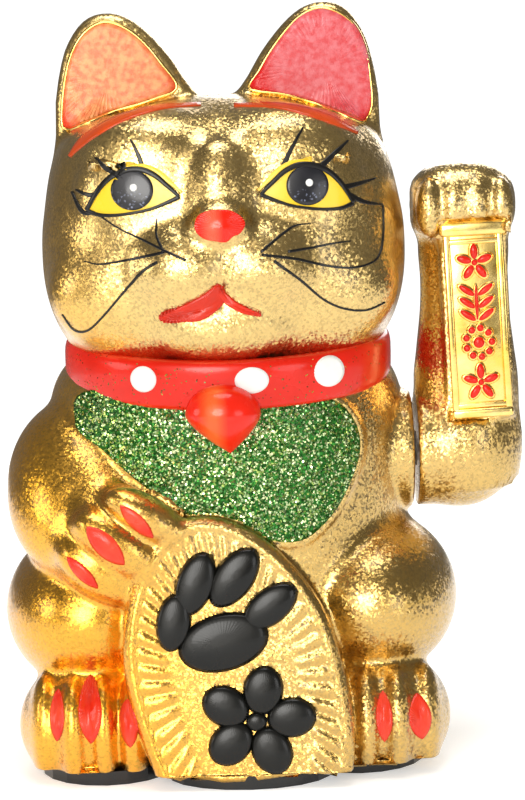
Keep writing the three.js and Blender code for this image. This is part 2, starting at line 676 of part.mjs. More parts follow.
BOARD_SCREWS.forEach((at, i) => {
  group.add(mesh(`board_screw_${i + 1}`, screw(at, boardTop + 1.6, 9), STEEL));
});
group.add(...wavingArmHalves());
group.add(mesh("arm_hub", armHub(), GREY_PLASTIC));
group.add(mesh("arm_plaque", armPlaque(), BRIGHT_GOLD));

// Leads run over the top of the bay to the board and the switch.
const LEADS = {
  lead_red: [[-14.7, -23.9, 25.2], [-12, -23, 28], [-4, -20, 26], [8, -17.5, 19], [20, -11, 14.5]],
  lead_black: [[-30.3, -23.9, 25.2], [-27, -19, 28], [-16, 8, 25], [2, 26, 20], [18, 31, 13]],
  lead_switch: [[34, 31, 11.6], [36, 26, 15], [33, 17, 18], [24, 11.5, 16]],
};
for (const [name, route] of Object.entries(LEADS)) {
  const points = route.map((p) => new THREE.Vector3(...p));
  group.add(mesh(name, wire(points, 0.65, 12, 6), name === "lead_red" ? RED_SLEEVE : BLACK_SLEEVE));
}

export default group;
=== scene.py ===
"""Builds the looks of a gold beckoning cat around its loaded frame. Sizes are in millimetres."""

import math

import bpy
import numpy as np
from bpy.props import FloatProperty, FloatVectorProperty, IntProperty, PointerProperty
from mathutils import Euler, Matrix, Vector
from mathutils.bvhtree import BVHTree


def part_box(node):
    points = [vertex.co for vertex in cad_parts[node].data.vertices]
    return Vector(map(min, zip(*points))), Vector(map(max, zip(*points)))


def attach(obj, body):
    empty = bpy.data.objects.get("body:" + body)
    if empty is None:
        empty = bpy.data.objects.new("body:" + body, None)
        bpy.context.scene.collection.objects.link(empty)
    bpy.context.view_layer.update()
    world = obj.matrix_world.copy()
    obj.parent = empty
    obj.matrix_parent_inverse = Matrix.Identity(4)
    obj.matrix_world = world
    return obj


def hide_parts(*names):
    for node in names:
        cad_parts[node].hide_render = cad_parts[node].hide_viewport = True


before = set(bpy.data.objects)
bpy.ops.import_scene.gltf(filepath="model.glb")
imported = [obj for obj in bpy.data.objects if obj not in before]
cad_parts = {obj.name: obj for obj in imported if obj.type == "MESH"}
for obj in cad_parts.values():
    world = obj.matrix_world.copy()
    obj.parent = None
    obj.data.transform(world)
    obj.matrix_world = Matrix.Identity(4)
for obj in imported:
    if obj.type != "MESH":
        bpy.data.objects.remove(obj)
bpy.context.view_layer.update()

bl_info = {
    "name": "Beckoning Cat",
    "version": (1, 0, 0),
    "blender": (4, 5, 0),
    "location": "3D View > Sidebar > Beckoning Cat",
    "description": "Builds a gold beckoning cat with a waving arm around its working frame",
    "category": "Add Mesh",
}

MM = 0.001


# ---------------------------------------------------------------- sizes taken from the frame
def frame_box(node):
    """Lowest and highest corner of a frame node, in millimetres."""
    low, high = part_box(node)
    return np.array(low) / MM, np.array(high) / MM


FOOT_Z = frame_box("front_shell")[0][2]
ARM_LOW, ARM_HIGH = frame_box("arm_front_shell")
ARM_INNER, ARM_TOP = ARM_LOW[0], ARM_HIGH[2]
SHAFT_Z = float(sum(corner[2] for corner in frame_box("arm_shaft")) / 2)
PLAQUE_FRONT = frame_box("arm_plaque")[0][1] + 1.6


# ---------------------------------------------------------------- settings
class CatSizes(bpy.types.PropertyGroup):
    """Sizes that a user would change."""

    voxel: FloatProperty(
        name="Skin grid", description="Spacing of the skin's mesh", default=1.7 * MM, unit="LENGTH"
    )
    arm_voxel: FloatProperty(
        name="Arm grid", description="Spacing of the arm's mesh", default=1.3 * MM, unit="LENGTH"
    )
    wall: FloatProperty(
        name="Casing wall", description="Thickness of the casing", default=2.2 * MM, unit="LENGTH"
    )
    arm_wall: FloatProperty(
        name="Arm wall", description="Thickness of the arm's wall", default=1.7 * MM, unit="LENGTH"
    )
    seam: FloatProperty(
        name="Seam", description="Gap between the two halves", default=0.3 * MM, unit="LENGTH"
    )
    flakes: IntProperty(
        name="Glitter flakes", description="Flakes scattered over the bib", default=5200
    )


class CatColours(bpy.types.PropertyGroup):
    """Colours of the finishes."""

    # Warm gold on the cat's right and pale gold on its left are partly the film's own tint and
    # partly painted warm light on the cat's right side.
    warm_gold: FloatVectorProperty(
        name="Warm gold", description="Gold on the cat's right", subtype="COLOR",
        default=(0.94, 0.49, 0.035),
    )
    pale_gold: FloatVectorProperty(
        name="Pale gold", description="Gold on the cat's left", subtype="COLOR",
        default=(0.76, 0.53, 0.19),
    )
    red: FloatVectorProperty(
        name="Red", description="Red paint", subtype="COLOR", default=(0.76, 0.015, 0.003)
    )
    green: FloatVectorProperty(
        name="Glitter green", description="Ground of the glitter", subtype="COLOR",
        default=(0.014, 0.135, 0.011),
    )


# ---------------------------------------------------------------- working with meshes
def clear_selection():
    bpy.ops.object.select_all(action="DESELECT")


def pick(obj):
    clear_selection()
    obj.select_set(True)
    bpy.context.view_layer.objects.active = obj
    return obj


def points_of(obj):
    """The vertices as an array, in millimetres."""
    flat = np.empty(len(obj.data.vertices) * 3)
    obj.data.vertices.foreach_get("co", flat)
    return flat.reshape(-1, 3) / MM


def place_points(obj, points):
    obj.data.vertices.foreach_set("co", (points * MM).ravel())
    obj.data.update()


def edit(obj, *steps):
    """Runs edit-mode steps on an object. Each step is a function."""
    pick(obj)
    bpy.ops.object.mode_set(mode="EDIT")
    for step in steps:
        step()
    bpy.ops.object.mode_set(mode="OBJECT")


def select_all():
    bpy.ops.mesh.select_all(action="SELECT")


def select_none():
    bpy.ops.mesh.select_all(action="DESELECT")


def centres_of(obj):
    """The centres of the faces as an array, in millimetres."""
    flat = np.empty(len(obj.data.polygons) * 3)
    obj.data.polygons.foreach_get("center", flat)
    return flat.reshape(-1, 3) / MM


def delete_faces(obj, mask):
    edit(obj, select_none)
    obj.data.polygons.foreach_set("select", mask)
    edit(obj, lambda: bpy.ops.mesh.delete(type="FACE"))


def apply_modifier(obj, kind, **values):
    pick(obj)
    modifier = obj.modifiers.new(kind.title(), kind)
    for key, value in values.items():
        setattr(modifier, key, value)
    bpy.ops.object.modifier_apply(modifier=modifier.name)


def join_as(name, parts):
    clear_selection()
    for part in parts:
        part.select_set(True)
    bpy.context.view_layer.objects.active = parts[0]
    if len(parts) > 1:
        bpy.ops.object.join()
    obj = bpy.context.view_layer.objects.active
    obj.name = name
    return obj


def finish_piece(made, name, material, body="figure", replaces=(), smooth=True):
    """Joins a piece if it is a list of parts, names and finishes it, and hands it to its body."""
    obj = join_as(name, made) if isinstance(made, list) else made
    obj.name = name
    obj.data.materials.clear()
    obj.data.materials.append(material)
    pick(obj)
    if smooth:
        bpy.ops.object.shade_smooth()
    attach(obj, body)
    if replaces:
        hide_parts(*replaces)
    return obj


def new_shape(kind, **values):
    """A new primitive and its points, still at the primitive's unit size."""
    getattr(bpy.ops.mesh, f"primitive_{kind}_add")(**values)
    obj = bpy.context.active_object
    return obj, points_of(obj) * MM


def add_ball(at, radii, turn=None, segments=40, rings=20):
    """A stretched sphere. turn holds degrees about X, Y and Z."""
    obj, points = new_shape("uv_sphere", segments=segments, ring_count=rings, radius=1)
    points = points * np.array(radii)
    if turn is not None:
        points = points @ turn_matrix(turn).T
    place_points(obj, points + np.array(at))
    return obj


def add_disc(sides, placed):
    """A closed prism whose points are set from a unit cylinder's by the function placed."""
    obj, points = new_shape("cylinder", vertices=sides, radius=1, depth=1)
    place_points(obj, placed(points))
    edit(obj, select_all, bpy.ops.mesh.normals_make_consistent)
    return obj


def turned_about_y(degrees):
    return Matrix.Rotation(math.radians(degrees), 3, "Y")


def turn_matrix(turn):
    return np.array(Euler([math.radians(a) for a in turn], "ZYX").to_matrix())


# ---------------------------------------------------------------- curves
def smooth_curve(points, closed, per_span=6):
    """Points on a smooth line through the given ones."""
    p = np.array(points, float)
    n = len(p)
    spans = n if closed else n - 1
    t = np.linspace(0, 1, per_span, endpoint=False)[:, None]
    made = []
    for i in range(spans):
        before = p[i - 1] if closed or i > 0 else 2 * p[0] - p[1]
        after = p[(i + 2) % n] if closed or i + 2 < n else 2 * p[-1] - p[-2]
        a, b = p[i], p[(i + 1) % n]
        made.append(
            0.5 * (2 * a + (b - before) * t + (2 * before - 5 * a + 4 * b - after) * t**2
                   + (3 * a - before - 3 * b + after) * t**3)
        )
    if not closed:
        made.append(p[-1:])
    return np.concatenate(made)


def anticlockwise(loop):
    x, z = loop[:, 0], loop[:, 1]
    area = (x * np.roll(z, -1) - np.roll(x, -1) * z).sum()
    return loop if area > 0 else loop[::-1]


def loop_distance(points, loop):
    """Distance to a closed outline, less than nothing inside it."""
    along = np.roll(loop, -1, axis=0) - loop
    length2 = (along**2).sum(1) + 1e-12
    best = np.full(len(points), 1e9)
    crossings = np.zeros(len(points), bool)
    for start, edge, l2 in zip(loop, along, length2):
        rel = points - start
        t = np.clip((rel @ edge) / l2, 0, 1)
        best = np.minimum(best, ((rel - t[:, None] * edge) ** 2).sum(1))
        end_z = start[1] + edge[1]
        spans = (start[1] > points[:, 1]) != (end_z > points[:, 1])
        if abs(edge[1]) > 1e-12:
            x_at = start[0] + (points[:, 1] - start[1]) * edge[0] / edge[1]
            crossings ^= spans & (points[:, 0] < x_at)
    distance = np.sqrt(best)
    return np.where(crossings, -distance, distance)


# ---------------------------------------------------------------- forms as distance fields
def ball(p, at, radii, turn=None, power=2.0):
    """Distance to a stretched ball; a power above 2 makes it boxier."""
    q = p - np.array(at)
    if turn is not None:
        q = q @ turn_matrix(turn)
    radii = np.array(radii)
    s = np.abs(q) / radii
    if power == 2.0:
        g = np.sqrt((s * s).sum(1)) + 1e-9
        slope = np.sqrt(((s / radii) ** 2).sum(1)) / g
    else:
        g = (s**power).sum(1) ** (1 / power) + 1e-9
        slope = np.sqrt(((s ** (power - 1) / radii) ** 2).sum(1)) * g ** (1 - power)
    return (g - 1) / np.maximum(slope, 1e-6)


def rounded(side, face, r):
    """A form bounded by a side and a face, with the edge between them rounded."""
    a, b = side + r, face + r
    outside = np.sqrt(np.maximum(a, 0) ** 2 + np.maximum(b, 0) ** 2)
    return outside + np.minimum(np.maximum(a, b), 0) - r


def blend(a, b, k):
    """Joins two forms with a soft crease k wide."""
    h = np.maximum(k - np.abs(a - b), 0) / k
    return np.minimum(a, b) - h * h * k / 4


def carve(a, b, k):
    """Takes form b out of form a, with a soft edge."""
    return -blend(-a, b, k)


def fade(value, low, high):
    """Rises smoothly from 0 at low to 1 at high."""
    t = np.clip((value - low) / (high - low), 0, 1)
    return t * t * (3 - 2 * t)


TORSO = {"at": (0, 4), "radius": 67.5, "depth": 0.857, "waist": 108, "rise": 50, "drop": 211}


def torso(p):
    """A body that is widest at its waist, square-shouldered above and slowly narrowing below."""
    t = TORSO
    r = np.sqrt((p[:, 0] - t["at"][0]) ** 2 + ((p[:, 1] - t["at"][1]) / t["depth"]) ** 2)
    dz = p[:, 2] - t["waist"]
    up = np.clip(dz / t["rise"], 0, 0.999)
    down = np.clip(-dz / t["drop"], 0, 0.9)
    radius = t["radius"] * np.where(dz > 0, (1 - up**4) ** 0.25, np.sqrt(1 - down**2))
    across_slope = 0.93
    side = (r - radius) * across_slope
    top = p[:, 2] - (t["waist"] + t["rise"] - 1)
    return np.maximum(side, top)


HEAD = {"at": (0.8, -3, 190), "radii": (67.5, 55, 57), "power": 2.35}
# Each feature: how it joins, whether both sides have it, its place, radii and turn, and the crease.
FEATURES = [
    (blend, True, (45, -4, 219), (16, 31, 21), None, 9),  # temple
    (blend, True, (25, -34, 227.5), (22, 16.5, 14), None, 10),  # brow
    (blend, True, (42, -34, 176), (19, 14, 15), None, 12),  # cheek
    (carve, True, (31, -62.5, 212), (22, 10.5, 12), (0, -6, 0), 10),  # eye socket
    (blend, True, (31, -42.8, 212), (18, 8.4, 11), (0, -6, 14), 9),  # eyeball
    (blend, False, (0, -50.5, 208), (7.5, 8, 21), None, 9),  # bridge of the nose
    (blend, True, (12.6, -52.5, 185), (17, 12, 13.8), None, 7),  # whisker pad
    (blend, False, (-1, -50, 164), (21, 11, 11), None, 10),  # chin
    (blend, False, (-0.5, -59, 200.8), (9.6, 7, 6.2), None, 5),  # tip of the nose
]
EAR = [
    (54, 215), (60, 238), (57.2, 259), (52.5, 269.5), (46.5, 275.2), (39, 276.6), (31.8, 274.6),
    (24.8, 269.4), (17.3, 261), (11.6, 252.4), (6.6, 245.5), (4, 236), (4, 215),
]
EAR_FACES = (-11, 9)
EAR_STRETCH_FROM = 240
EAR_STRETCH = {-1: 1.03, 1: 1.09}


def ear_outline(side):
    """The cat's left ear, at side 1, stands a little taller than its right."""
    foot = EAR_STRETCH_FROM
    points = [(x, z if z < foot else foot + (z - foot) * EAR_STRETCH[side]) for x, z in EAR]
    return smooth_curve(points, True, 3)


def ear(p, side):
    far = 30.0
    made = np.full(len(p), far)
    near = (p[:, 2] > 205) & (p[:, 0] * side > -8)
    q = p[near]
    flat = np.stack([q[:, 0] * side, q[:, 2]], 1)
    outline = loop_distance(flat, ear_outline(side))
    front, back = EAR_FACES
    face = np.abs(q[:, 1] - (front + back) / 2) - (back - front) / 2
    made[near] = rounded(outline, face, 4.5)
    return made


def head(p):
    d = ball(p, HEAD["at"], HEAD["radii"], power=HEAD["power"])
    folded = np.stack([np.abs(p[:, 0]), p[:, 1], p[:, 2]], 1)
    for join, both_sides, at, radii, turn, crease in FEATURES:
        d = join(d, ball(folded if both_sides else p, at, radii, turn), crease)
    for side in (-1, 1):
        d = blend(d, ear(p, side), 3)
    return d


COIN = {"at": (0.6, -53.5, 38), "rx": 38.5, "rz": 60, "half": 12, "tilt": 14.2, "lean": -5}
COIN_RIBS = 50


def coin_turn():
    lean = Matrix.Rotation(math.radians(COIN["lean"]), 3, "X")
    return np.array(turned_about_y(-COIN["tilt"]) @ lean)


def coin_frame(p):
    """Points in the coin's own frame: across, thickness, along."""
    return (p - np.array(COIN["at"])) @ coin_turn()


def coin_face(x, z, lift):
    """Where the coin's face lies, front to back."""
    turn = coin_turn()
    ax, ay, az = COIN["at"]
    wanted = -COIN["half"] - lift - (x - ax) * turn[0, 1] - (z - az) * turn[2, 1]
    return ay + wanted / turn[1, 1]


def coin_power(along):
    """The outline is a plain oval at the top and squarer at the foot."""
    return 2.25 - 0.4 * np.tanh(along / 20)


def coin(p):
    """An oval coin with a bead round its face and short ribs inside the bead."""
    q = coin_frame(p)
    u, v, w = np.abs(q[:, 0]) / COIN["rx"], q[:, 1], np.abs(q[:, 2]) / COIN["rz"]
    power = coin_power(q[:, 2])
    g = (u**power + w**power) ** (1 / power) + 1e-9
    slope = np.sqrt(
        (u ** (power - 1) / COIN["rx"]) ** 2 + (w ** (power - 1) / COIN["rz"]) ** 2
    ) * g ** (1 - power)
    side = (g - 1) / np.maximum(slope, 1e-6)
    d = rounded(side, np.abs(v) - COIN["half"], 3)
    front = fade(-v, COIN["half"] - 6, COIN["half"] - 3)
    bead = 1.1 * np.exp(-(((side + 3.2) / 1.7) ** 2))
    angle = np.arctan2(q[:, 2] / COIN["rz"], q[:, 0] / COIN["rx"])
    window = fade(-side, 4.5, 7) * (1 - fade(-side, 12, 18))
    ribs = window * (0.5 + 0.5 * np.cos(angle * COIN_RIBS)) ** 0.7
    return d - front * (bead + ribs)


NECK = ((0, 0, 150), (58, 49, 20))
LEGS = {-1: ((-52, -8, 57), (32.7, 46, 31)), 1: ((52, -8, 59), (32.7, 46, 31))}
FEET = {-1: ((-54, -33, 18), (25.5, 26.5, 24)), 1: ((54, -33, 18), (25.5, 26.5, 24))}
TOES = {-1: (-69, -58.5, -47.5, -37), 1: (69.5, 58.5, 47.5)}
TOE_SIZE = (6.6, 14, 20)
TAIL = [((16, 55, 17), (10, 12, 9)), ((25, 57, 24), (9, 10, 12)), ((27, 55, 36), (8, 9, 11))]
SHAFT_FACE = {"x": 45, "half": 24.5, "radius": 22.5, "hole": 4.5}
BIB = [
    (-52, 140), (-55.2, 130), (-53, 125.6), (-46.3, 121), (-40, 115.5), (-32.8, 109.5), (-24, 103),
    (-16, 98), (-8, 94.3), (1.7, 90.6), (13, 87.5), (21, 86), (27.6, 87), (33.4, 91), (39.3, 97.3),
    (43.6, 104.6), (47, 112.6), (48.2, 119), (47.2, 125.5), (44.3, 131), (38.7, 136), (20, 142),
    (-20, 144),
]


def bib_relief(p):
    """The bib stands proud of the chest, with a bead round its lower right edge."""
    raised = np.zeros(len(p))
    near = (p[:, 1] < -20) & (p[:, 2] > 78) & (p[:, 2] < 150)
    q = p[near]
    edge = loop_distance(q[:, [0, 2]], smooth_curve(BIB, True, 3))
    on_right = fade(q[:, 0], -30, 0)
    bead = (0.5 + 0.9 * on_right) * np.exp(-(((edge - 1.2) / 1.2) ** 2))
    raised[near] = 1.2 * fade(-edge, -1.0, 1.4) + bead
    return raised


SHOULDER = ((-53, -9, 103), (29.6, 35, 34), None)
FOREARM = ((-51, -37, 91), (29, 18, 22), (0, 30, -32))
FINGERS = [
    ((-29, -57, 97.5), (17, 9, 7.6), (0, 33, 6)), ((-38.5, -56.5, 87), (19, 9.6, 8.2), (0, 37, 8)),
    ((-46.5, -53, 76.5), (16.5, 9, 7.4), (0, 38, 10)),
]


def lowered_arm(p):
    d = blend(ball(p, *SHOULDER), ball(p, *FOREARM), 14)
    fingers = ball(p, *FINGERS[0])
    for finger in FINGERS[1:]:
        fingers = blend(fingers, ball(p, *finger), 2.4)
    return blend(d, fingers, 10)


def toe_places(side):
    """The outer toe, the first of each row, stands further back than the others."""
    return [(x, -48.5 if i else -42, 18) for i, x in enumerate(TOES[side])]


def around_shaft(p):
    return np.hypot(p[:, 1], p[:, 2] - SHAFT_Z)


def figure(p):
    d = blend(torso(p), ball(p, *NECK), 3)
    d = d - bib_relief(p)
    for side in (-1, 1):
        foot = ball(p, *FEET[side])
        for at in toe_places(side):
            foot = blend(foot, ball(p, at, TOE_SIZE), 1.8)
        d = blend(d, blend(ball(p, *LEGS[side]), foot, 5), 5)
    face = SHAFT_FACE
    along = np.abs(p[:, 0] - face["x"]) - face["half"]
    d = blend(d, rounded(around_shaft(p) - face["radius"], along, 2), 2)
    for at, radii in TAIL:
        d = blend(d, ball(p, at, radii), 6)
    d = blend(d, coin(p), 1.6)
    d = blend(d, lowered_arm(p), 3.5)
    return blend(d, head(p), 2.5)


# The waving arm: its radius at each height, its elbow, its disc round the shaft, and its fist.
LIMB = [
    (19, 100), (19.8, 118), (19.8, 137), (18.4, 150), (16.7, 165), (16.4, 176), (17, 188),
    (16, 200),
]
LIMB_X = 90.7
LIMB_DEPTH = 0.9
ELBOW = ((88, 0, 113), (22.5, 22, 23.5))
HUB = {"x": 78, "half": 8, "radius": 21.5, "hole": 6.8}
FIST_Z = 204
FIST = ((LIMB_X - 0.8, -4, FIST_Z), (20, 19.5, ARM_TOP - FIST_Z))
KNUCKLES = [(LIMB_X - 14 + 8.8 * i, -18.2, 203) for i in range(4)]
KNUCKLE_SIZE = (4.9, 6.4, 11)
PLAQUE_TILT = -2.25
PLAQUE_AT = (93.7, 0, 161.8)
SEAT = {"half": 12.4, "reach": 37.5, "face": PLAQUE_FRONT + 2.5}


def plaque_frame(p):
    """Points in the plaque's own frame, which is turned a little about Y."""
    return (p - np.array(PLAQUE_AT)) @ np.array(turned_about_y(PLAQUE_TILT))


def raised_arm(p):
    """The arm stands on a disc round the shaft and has a flat seat for the plaque in front."""
    profile = smooth_curve(LIMB, False, 6)
    radius = np.interp(p[:, 2], profile[:, 1], profile[:, 0])
    across_slope = 0.95
    side = (np.hypot(p[:, 0] - LIMB_X, p[:, 1] / LIMB_DEPTH) - radius) * across_slope
    d = np.maximum(side, np.abs(p[:, 2] - 149) - 50)
    d = blend(d, ball(p, *ELBOW), 5)
    along = np.abs(p[:, 0] - HUB["x"]) - HUB["half"]
    d = blend(d, rounded(around_shaft(p) - HUB["radius"], along, 1.2), 2)
    d = blend(d, ball(p, *FIST, power=2.5), 4)
    for at in KNUCKLES:
        d = blend(d, ball(p, at, KNUCKLE_SIZE), 1.6)
    q = plaque_frame(p)
    rim = np.maximum(np.abs(q[:, 0]) - SEAT["half"], np.abs(q[:, 2]) - SEAT["reach"])
    pad = np.maximum(rim, np.maximum(SEAT["face"] - p[:, 1], p[:, 1] + 4))
    d = blend(d, pad, 2)
    d = carve(d, np.maximum(rim, p[:, 1] - SEAT["face"]), 0.8)
    return np.maximum(d, ARM_INNER - p[:, 0])


def settle(obj, field, rounds, reach=3.0):
    """Pulls every vertex onto the surface of a form, at most reach millimetres each round."""
    p = points_of(obj)
    step = 0.25
    for _ in range(rounds):
        d = field(p)
        slope = np.stack(
            [field(p + step * axis) - field(p - step * axis) for axis in np.eye(3)], 1
        ) / (2 * step)
        size2 = np.maximum((slope**2).sum(1), 0.3)
        move = -slope * (d / size2)[:, None]
        length = np.linalg.norm(move, axis=1, keepdims=True)
        p = p + move * np.minimum(1, reach / np.maximum(length, 1e-9))
    place_points(obj, p)


def even_out(obj, factor, repeat):
    """Smooths away the small folds that settling leaves."""
    apply_modifier(obj, "SMOOTH", factor=factor, iterations=repeat)


# ---------------------------------------------------------------- shells
# Simple forms a little inside the real ones: on the middle plane, and in pairs.
ROUGH_BODY = [((0, 4, 60), (67, 57, 98)), ((0, 4, 112), (67, 57, 40)), (HEAD["at"], (66, 54, 56))]
ROUGH_MIDDLE = [((0, -48, 163), (21, 14, 11)), ((0, -57, 200), (9.5, 8, 6))]
ROUGH_PAIRS = [
    ((12.6, -50, 185), (16, 14, 13.5)), ((40, -30, 176), (26, 22, 22)),
    ((25, -34, 227.5), (21.5, 16, 13.5)), ((45, -4, 219), (16, 31, 21)),
]


def rough_figure():
    """Overlapping closed forms, near enough to the figure to be remeshed and settled."""
    balls = [*ROUGH_BODY, *ROUGH_MIDDLE, *TAIL, SHOULDER, FOREARM, *FINGERS]
    for side in (-1, 1):
        balls += [LEGS[side], FEET[side]]
        balls += [((side * x, y, z), radii) for (x, y, z), radii in ROUGH_PAIRS]
        balls += [(at, (6.6, 13.5, 19.5)) for at in toe_places(side)]
    parts = [add_ball(*form) for form in balls]
    parts.append(add_disc(48, lambda p: p * np.array([58, 49, 40]) + np.array([0, 0, 148])))
    parts.append(add_disc(64, rough_coin))
    parts += [rough_ear(side) for side in (-1, 1)]
    face = SHAFT_FACE
    parts.append(shaft_disc(face["x"], 2 * face["half"], face["radius"]))
    return join_as("rough_figure", parts)


def shaft_disc(x, thick, radius):
    """A disc round the shaft's axis."""
    return add_disc(48, lambda p: np.stack(
        [p[:, 2] * thick + x, p[:, 1] * radius, p[:, 0] * radius + SHAFT_Z], 1
    ))


def rough_coin(p):
    size = np.array([COIN["rx"] - 0.5, 2 * COIN["half"] - 1, COIN["rz"] - 0.5])
    flat = np.stack([p[:, 0], -p[:, 2], p[:, 1]], 1) * size
    return flat @ coin_turn().T + np.array(COIN["at"])


def rough_ear(side):
    loop = anticlockwise(ear_outline(side) * np.array([side, 1]))
    count = len(loop)
    front, back = EAR_FACES

    def placed(p):
        turns = np.round(np.arctan2(p[:, 1], p[:, 0]) / (2 * np.pi) * count).astype(int) % count
        y = np.where(p[:, 2] > 0, front + 0.5, back - 0.5)
        return np.stack([loop[turns, 0], y, loop[turns, 1]], 1)

    return add_disc(count, placed)


ROUGH_ARM = [
    ((89, 0, 113), (18, 20.5, 22.5)), ((LIMB_X, 0, 150), (17, 16, 52)),
    ((LIMB_X, -4, 203), (18, 19, 16)), ((LIMB_X, 0, 135), (18.5, 17, 36)),
    *((at, (4.7, 6.2, 10.6)) for at in KNUCKLES),
]


def rough_arm():
    """Overlapping closed forms for the arm, its disc and the pad behind its plaque."""
    pad, corners = new_shape("cube", size=1)
    x, _, z = PLAQUE_AT
    place_points(pad, corners * np.array([24, 13, 74]) + np.array([x, -11, z]))
    parts = [add_ball(*form) for form in ROUGH_ARM]
    return join_as("rough_arm", [*parts, shaft_disc(79, 15, 21), pad])


MOST_TRIANGLES = 185_000


def lighten_inner_wall(obj, outer):
    """Collapses the unseen inner wall of a heavy piece. outer counts the outer vertices."""
    triangles = sum(len(f.vertices) - 2 for f in obj.data.polygons)
    if triangles > MOST_TRIANGLES:
        inner = obj.vertex_groups.new(name="inner_wall")
        inner.add(range(outer, len(obj.data.vertices)), 1.0, "REPLACE")
        ratio = MOST_TRIANGLES / triangles
        apply_modifier(obj, "DECIMATE", ratio=ratio, vertex_group=inner.name)
        obj.vertex_groups.clear()


def split_shell(whole, gap, wall, body, halves):
    """Parts a skin into walled halves. halves holds each half's name and the node it replaces."""
    gold = bpy.data.materials["gold_skin"]
    for (name, replaced), plane in zip(halves, (-gap / 2, gap / 2)):
        front = plane < 0
        pick(whole)
        bpy.ops.object.duplicate()
        half = bpy.context.active_object
        edit(half, select_all, lambda: bpy.ops.mesh.bisect(
            plane_co=(0, plane, 0), plane_no=(0, 1, 0), clear_inner=not front, clear_outer=front
        ))
        outer = len(half.data.vertices)
        apply_modifier(half, "SOLIDIFY", thickness=wall, offset=-1, use_rim=True)
        lighten_inner_wall(half, outer)
        finish_piece(half, name, gold, body, [replaced])
    bpy.data.objects.remove(whole)


def detail_region(obj, chosen):
    """Subdivides the faces whose centres pass the test, once."""
    mask = chosen(centres_of(obj))
    edit(obj, select_none)
    obj.data.polygons.foreach_set("select", mask)
    edit(
        obj, lambda: bpy.ops.mesh.select_mode(type="FACE"),
        lambda: bpy.ops.mesh.subdivide(number_cuts=1),
    )


# Where the skin needs a finer mesh: the limits of X and of Z, and the furthest back that counts.
NO_LIMIT = 999
FINE_BOXES = [
    ((-58, 58), (160, 236), -30),  # face
    ((-NO_LIMIT, NO_LIMIT), (226, 249), -8),  # brow
    ((-NO_LIMIT, -8), (64, 106), -44),  # paw on the coin
    ((0, 54), (84, 140), -30),  # edge of the bib
    ((-NO_LIMIT, NO_LIMIT), (-NO_LIMIT, 42), -42),  # toes
]


def fine_places(c):
    x, y, z = c.T
    q = coin_frame(c)
    chosen = (np.abs(q[:, 0]) < 42) & (np.abs(q[:, 2]) < 63) & (y < -54) & (z < 100)
    for (left, right), (low, high), back in FINE_BOXES:
        chosen |= (x > left) & (x < right) & (z > low) & (z < high) & (y < back)
    return chosen


FOOT_MOUTH = {"centre": np.array([0, 4]), "radii": np.array([54.5, 46.5]), "cuts": 20}


def open_underneath(obj):
    """Cuts the foot off level, closes it, and opens it again inside the base plate's rim."""
    edit(obj, select_all, lambda: bpy.ops.mesh.bisect(
        plane_co=(0, 0, FOOT_Z * MM), plane_no=(0, 0, 1), clear_inner=True, use_fill=True
    ))
    centre, radii, cuts = FOOT_MOUTH["centre"], FOOT_MOUTH["radii"], FOOT_MOUTH["cuts"]
    for i in range(cuts):
        angle = 2 * math.pi * i / cuts
        way = np.array([math.cos(angle), math.sin(angle)])
        normal, point = way / radii, (centre + radii * way) * MM
        edit(obj, select_none)
        on_cap = np.array([abs(f.center.z - FOOT_Z * MM) < 1e-5 for f in obj.data.polygons])
        obj.data.polygons.foreach_set("select", on_cap)
        edit(obj, lambda: bpy.ops.mesh.bisect(plane_co=(*point, 0), plane_no=(*normal, 0)))
    c = centres_of(obj)
    inside = (((c[:, :2] - centre) / radii) ** 2).sum(1) < 1
    delete_faces(obj, inside & (np.abs(c[:, 2] - FOOT_Z) < 0.01))


def open_shaft_hole(obj, x, radius):
    """Takes out the faces round the shaft on the flat at x, and rounds the hole's edge."""
    near, band = 3, 1.4
    c = centres_of(obj)
    delete_faces(obj, (around_shaft(c) < radius) & (np.abs(c[:, 0] - x) < near))
    p = points_of(obj)
    radial = around_shaft(p)
    edge = (np.abs(p[:, 0] - x) < near) & (radial < radius + band)
    scale = (radius / np.maximum(radial, 1e-6))[edge]
    p[edge, 1] *= scale
    p[edge, 2] = SHAFT_Z + (p[edge, 2] - SHAFT_Z) * scale
    place_points(obj, p)


class CAT_OT_shells(bpy.types.Operator):
    """Moulds the gold casing in two halves"""

    bl_idname = "beckoning_cat.shells"
    bl_label = "Casing"

    def execute(self, context):
        sizes = context.scene.cat_sizes
        clear_selection()
        skin = rough_figure()
        apply_modifier(skin, "REMESH", mode="VOXEL", voxel_size=sizes.voxel)
        settle(skin, figure, rounds=3)
        even_out(skin, 0.5, 3)
        settle(skin, figure, rounds=1)
        even_out(skin, 0.5, 2)
        detail_region(skin, fine_places)
        for reach in (2, 1.5, 0.8):
            settle(skin, figure, rounds=1, reach=reach)
            even_out(skin, 0.4, 1)
        settle(skin, figure, rounds=1, reach=0.8)
        open_underneath(skin)
        open_shaft_hole(skin, SHAFT_FACE["x"] + SHAFT_FACE["half"], SHAFT_FACE["hole"])
        gold_skin()
        polished_gold()
        halves = [("skin_front", "front_shell"), ("skin_rear", "rear_shell")]
        split_shell(skin, sizes.seam, sizes.wall, "figure", halves)
        return {"FINISHED"}


class CAT_OT_arm(bpy.types.Operator):
    """Moulds the waving arm in two halves"""

    bl_idname = "beckoning_cat.arm"
    bl_label = "Waving arm"

    def execute(self, context):
        sizes = context.scene.cat_sizes
        clear_selection()
        arm = rough_arm()
        apply_modifier(arm, "REMESH", mode="VOXEL", voxel_size=sizes.arm_voxel)
        settle(arm, raised_arm, rounds=6)
        even_out(arm, 0.5, 1)
        settle(arm, raised_arm, rounds=2)
        open_shaft_hole(arm, ARM_INNER, HUB["hole"])
        halves = [("arm_front", "arm_front_shell"), ("arm_rear", "arm_rear_shell")]
        split_shell(arm, sizes.seam, sizes.arm_wall, "waving_arm", halves)
        return {"FINISHED"}


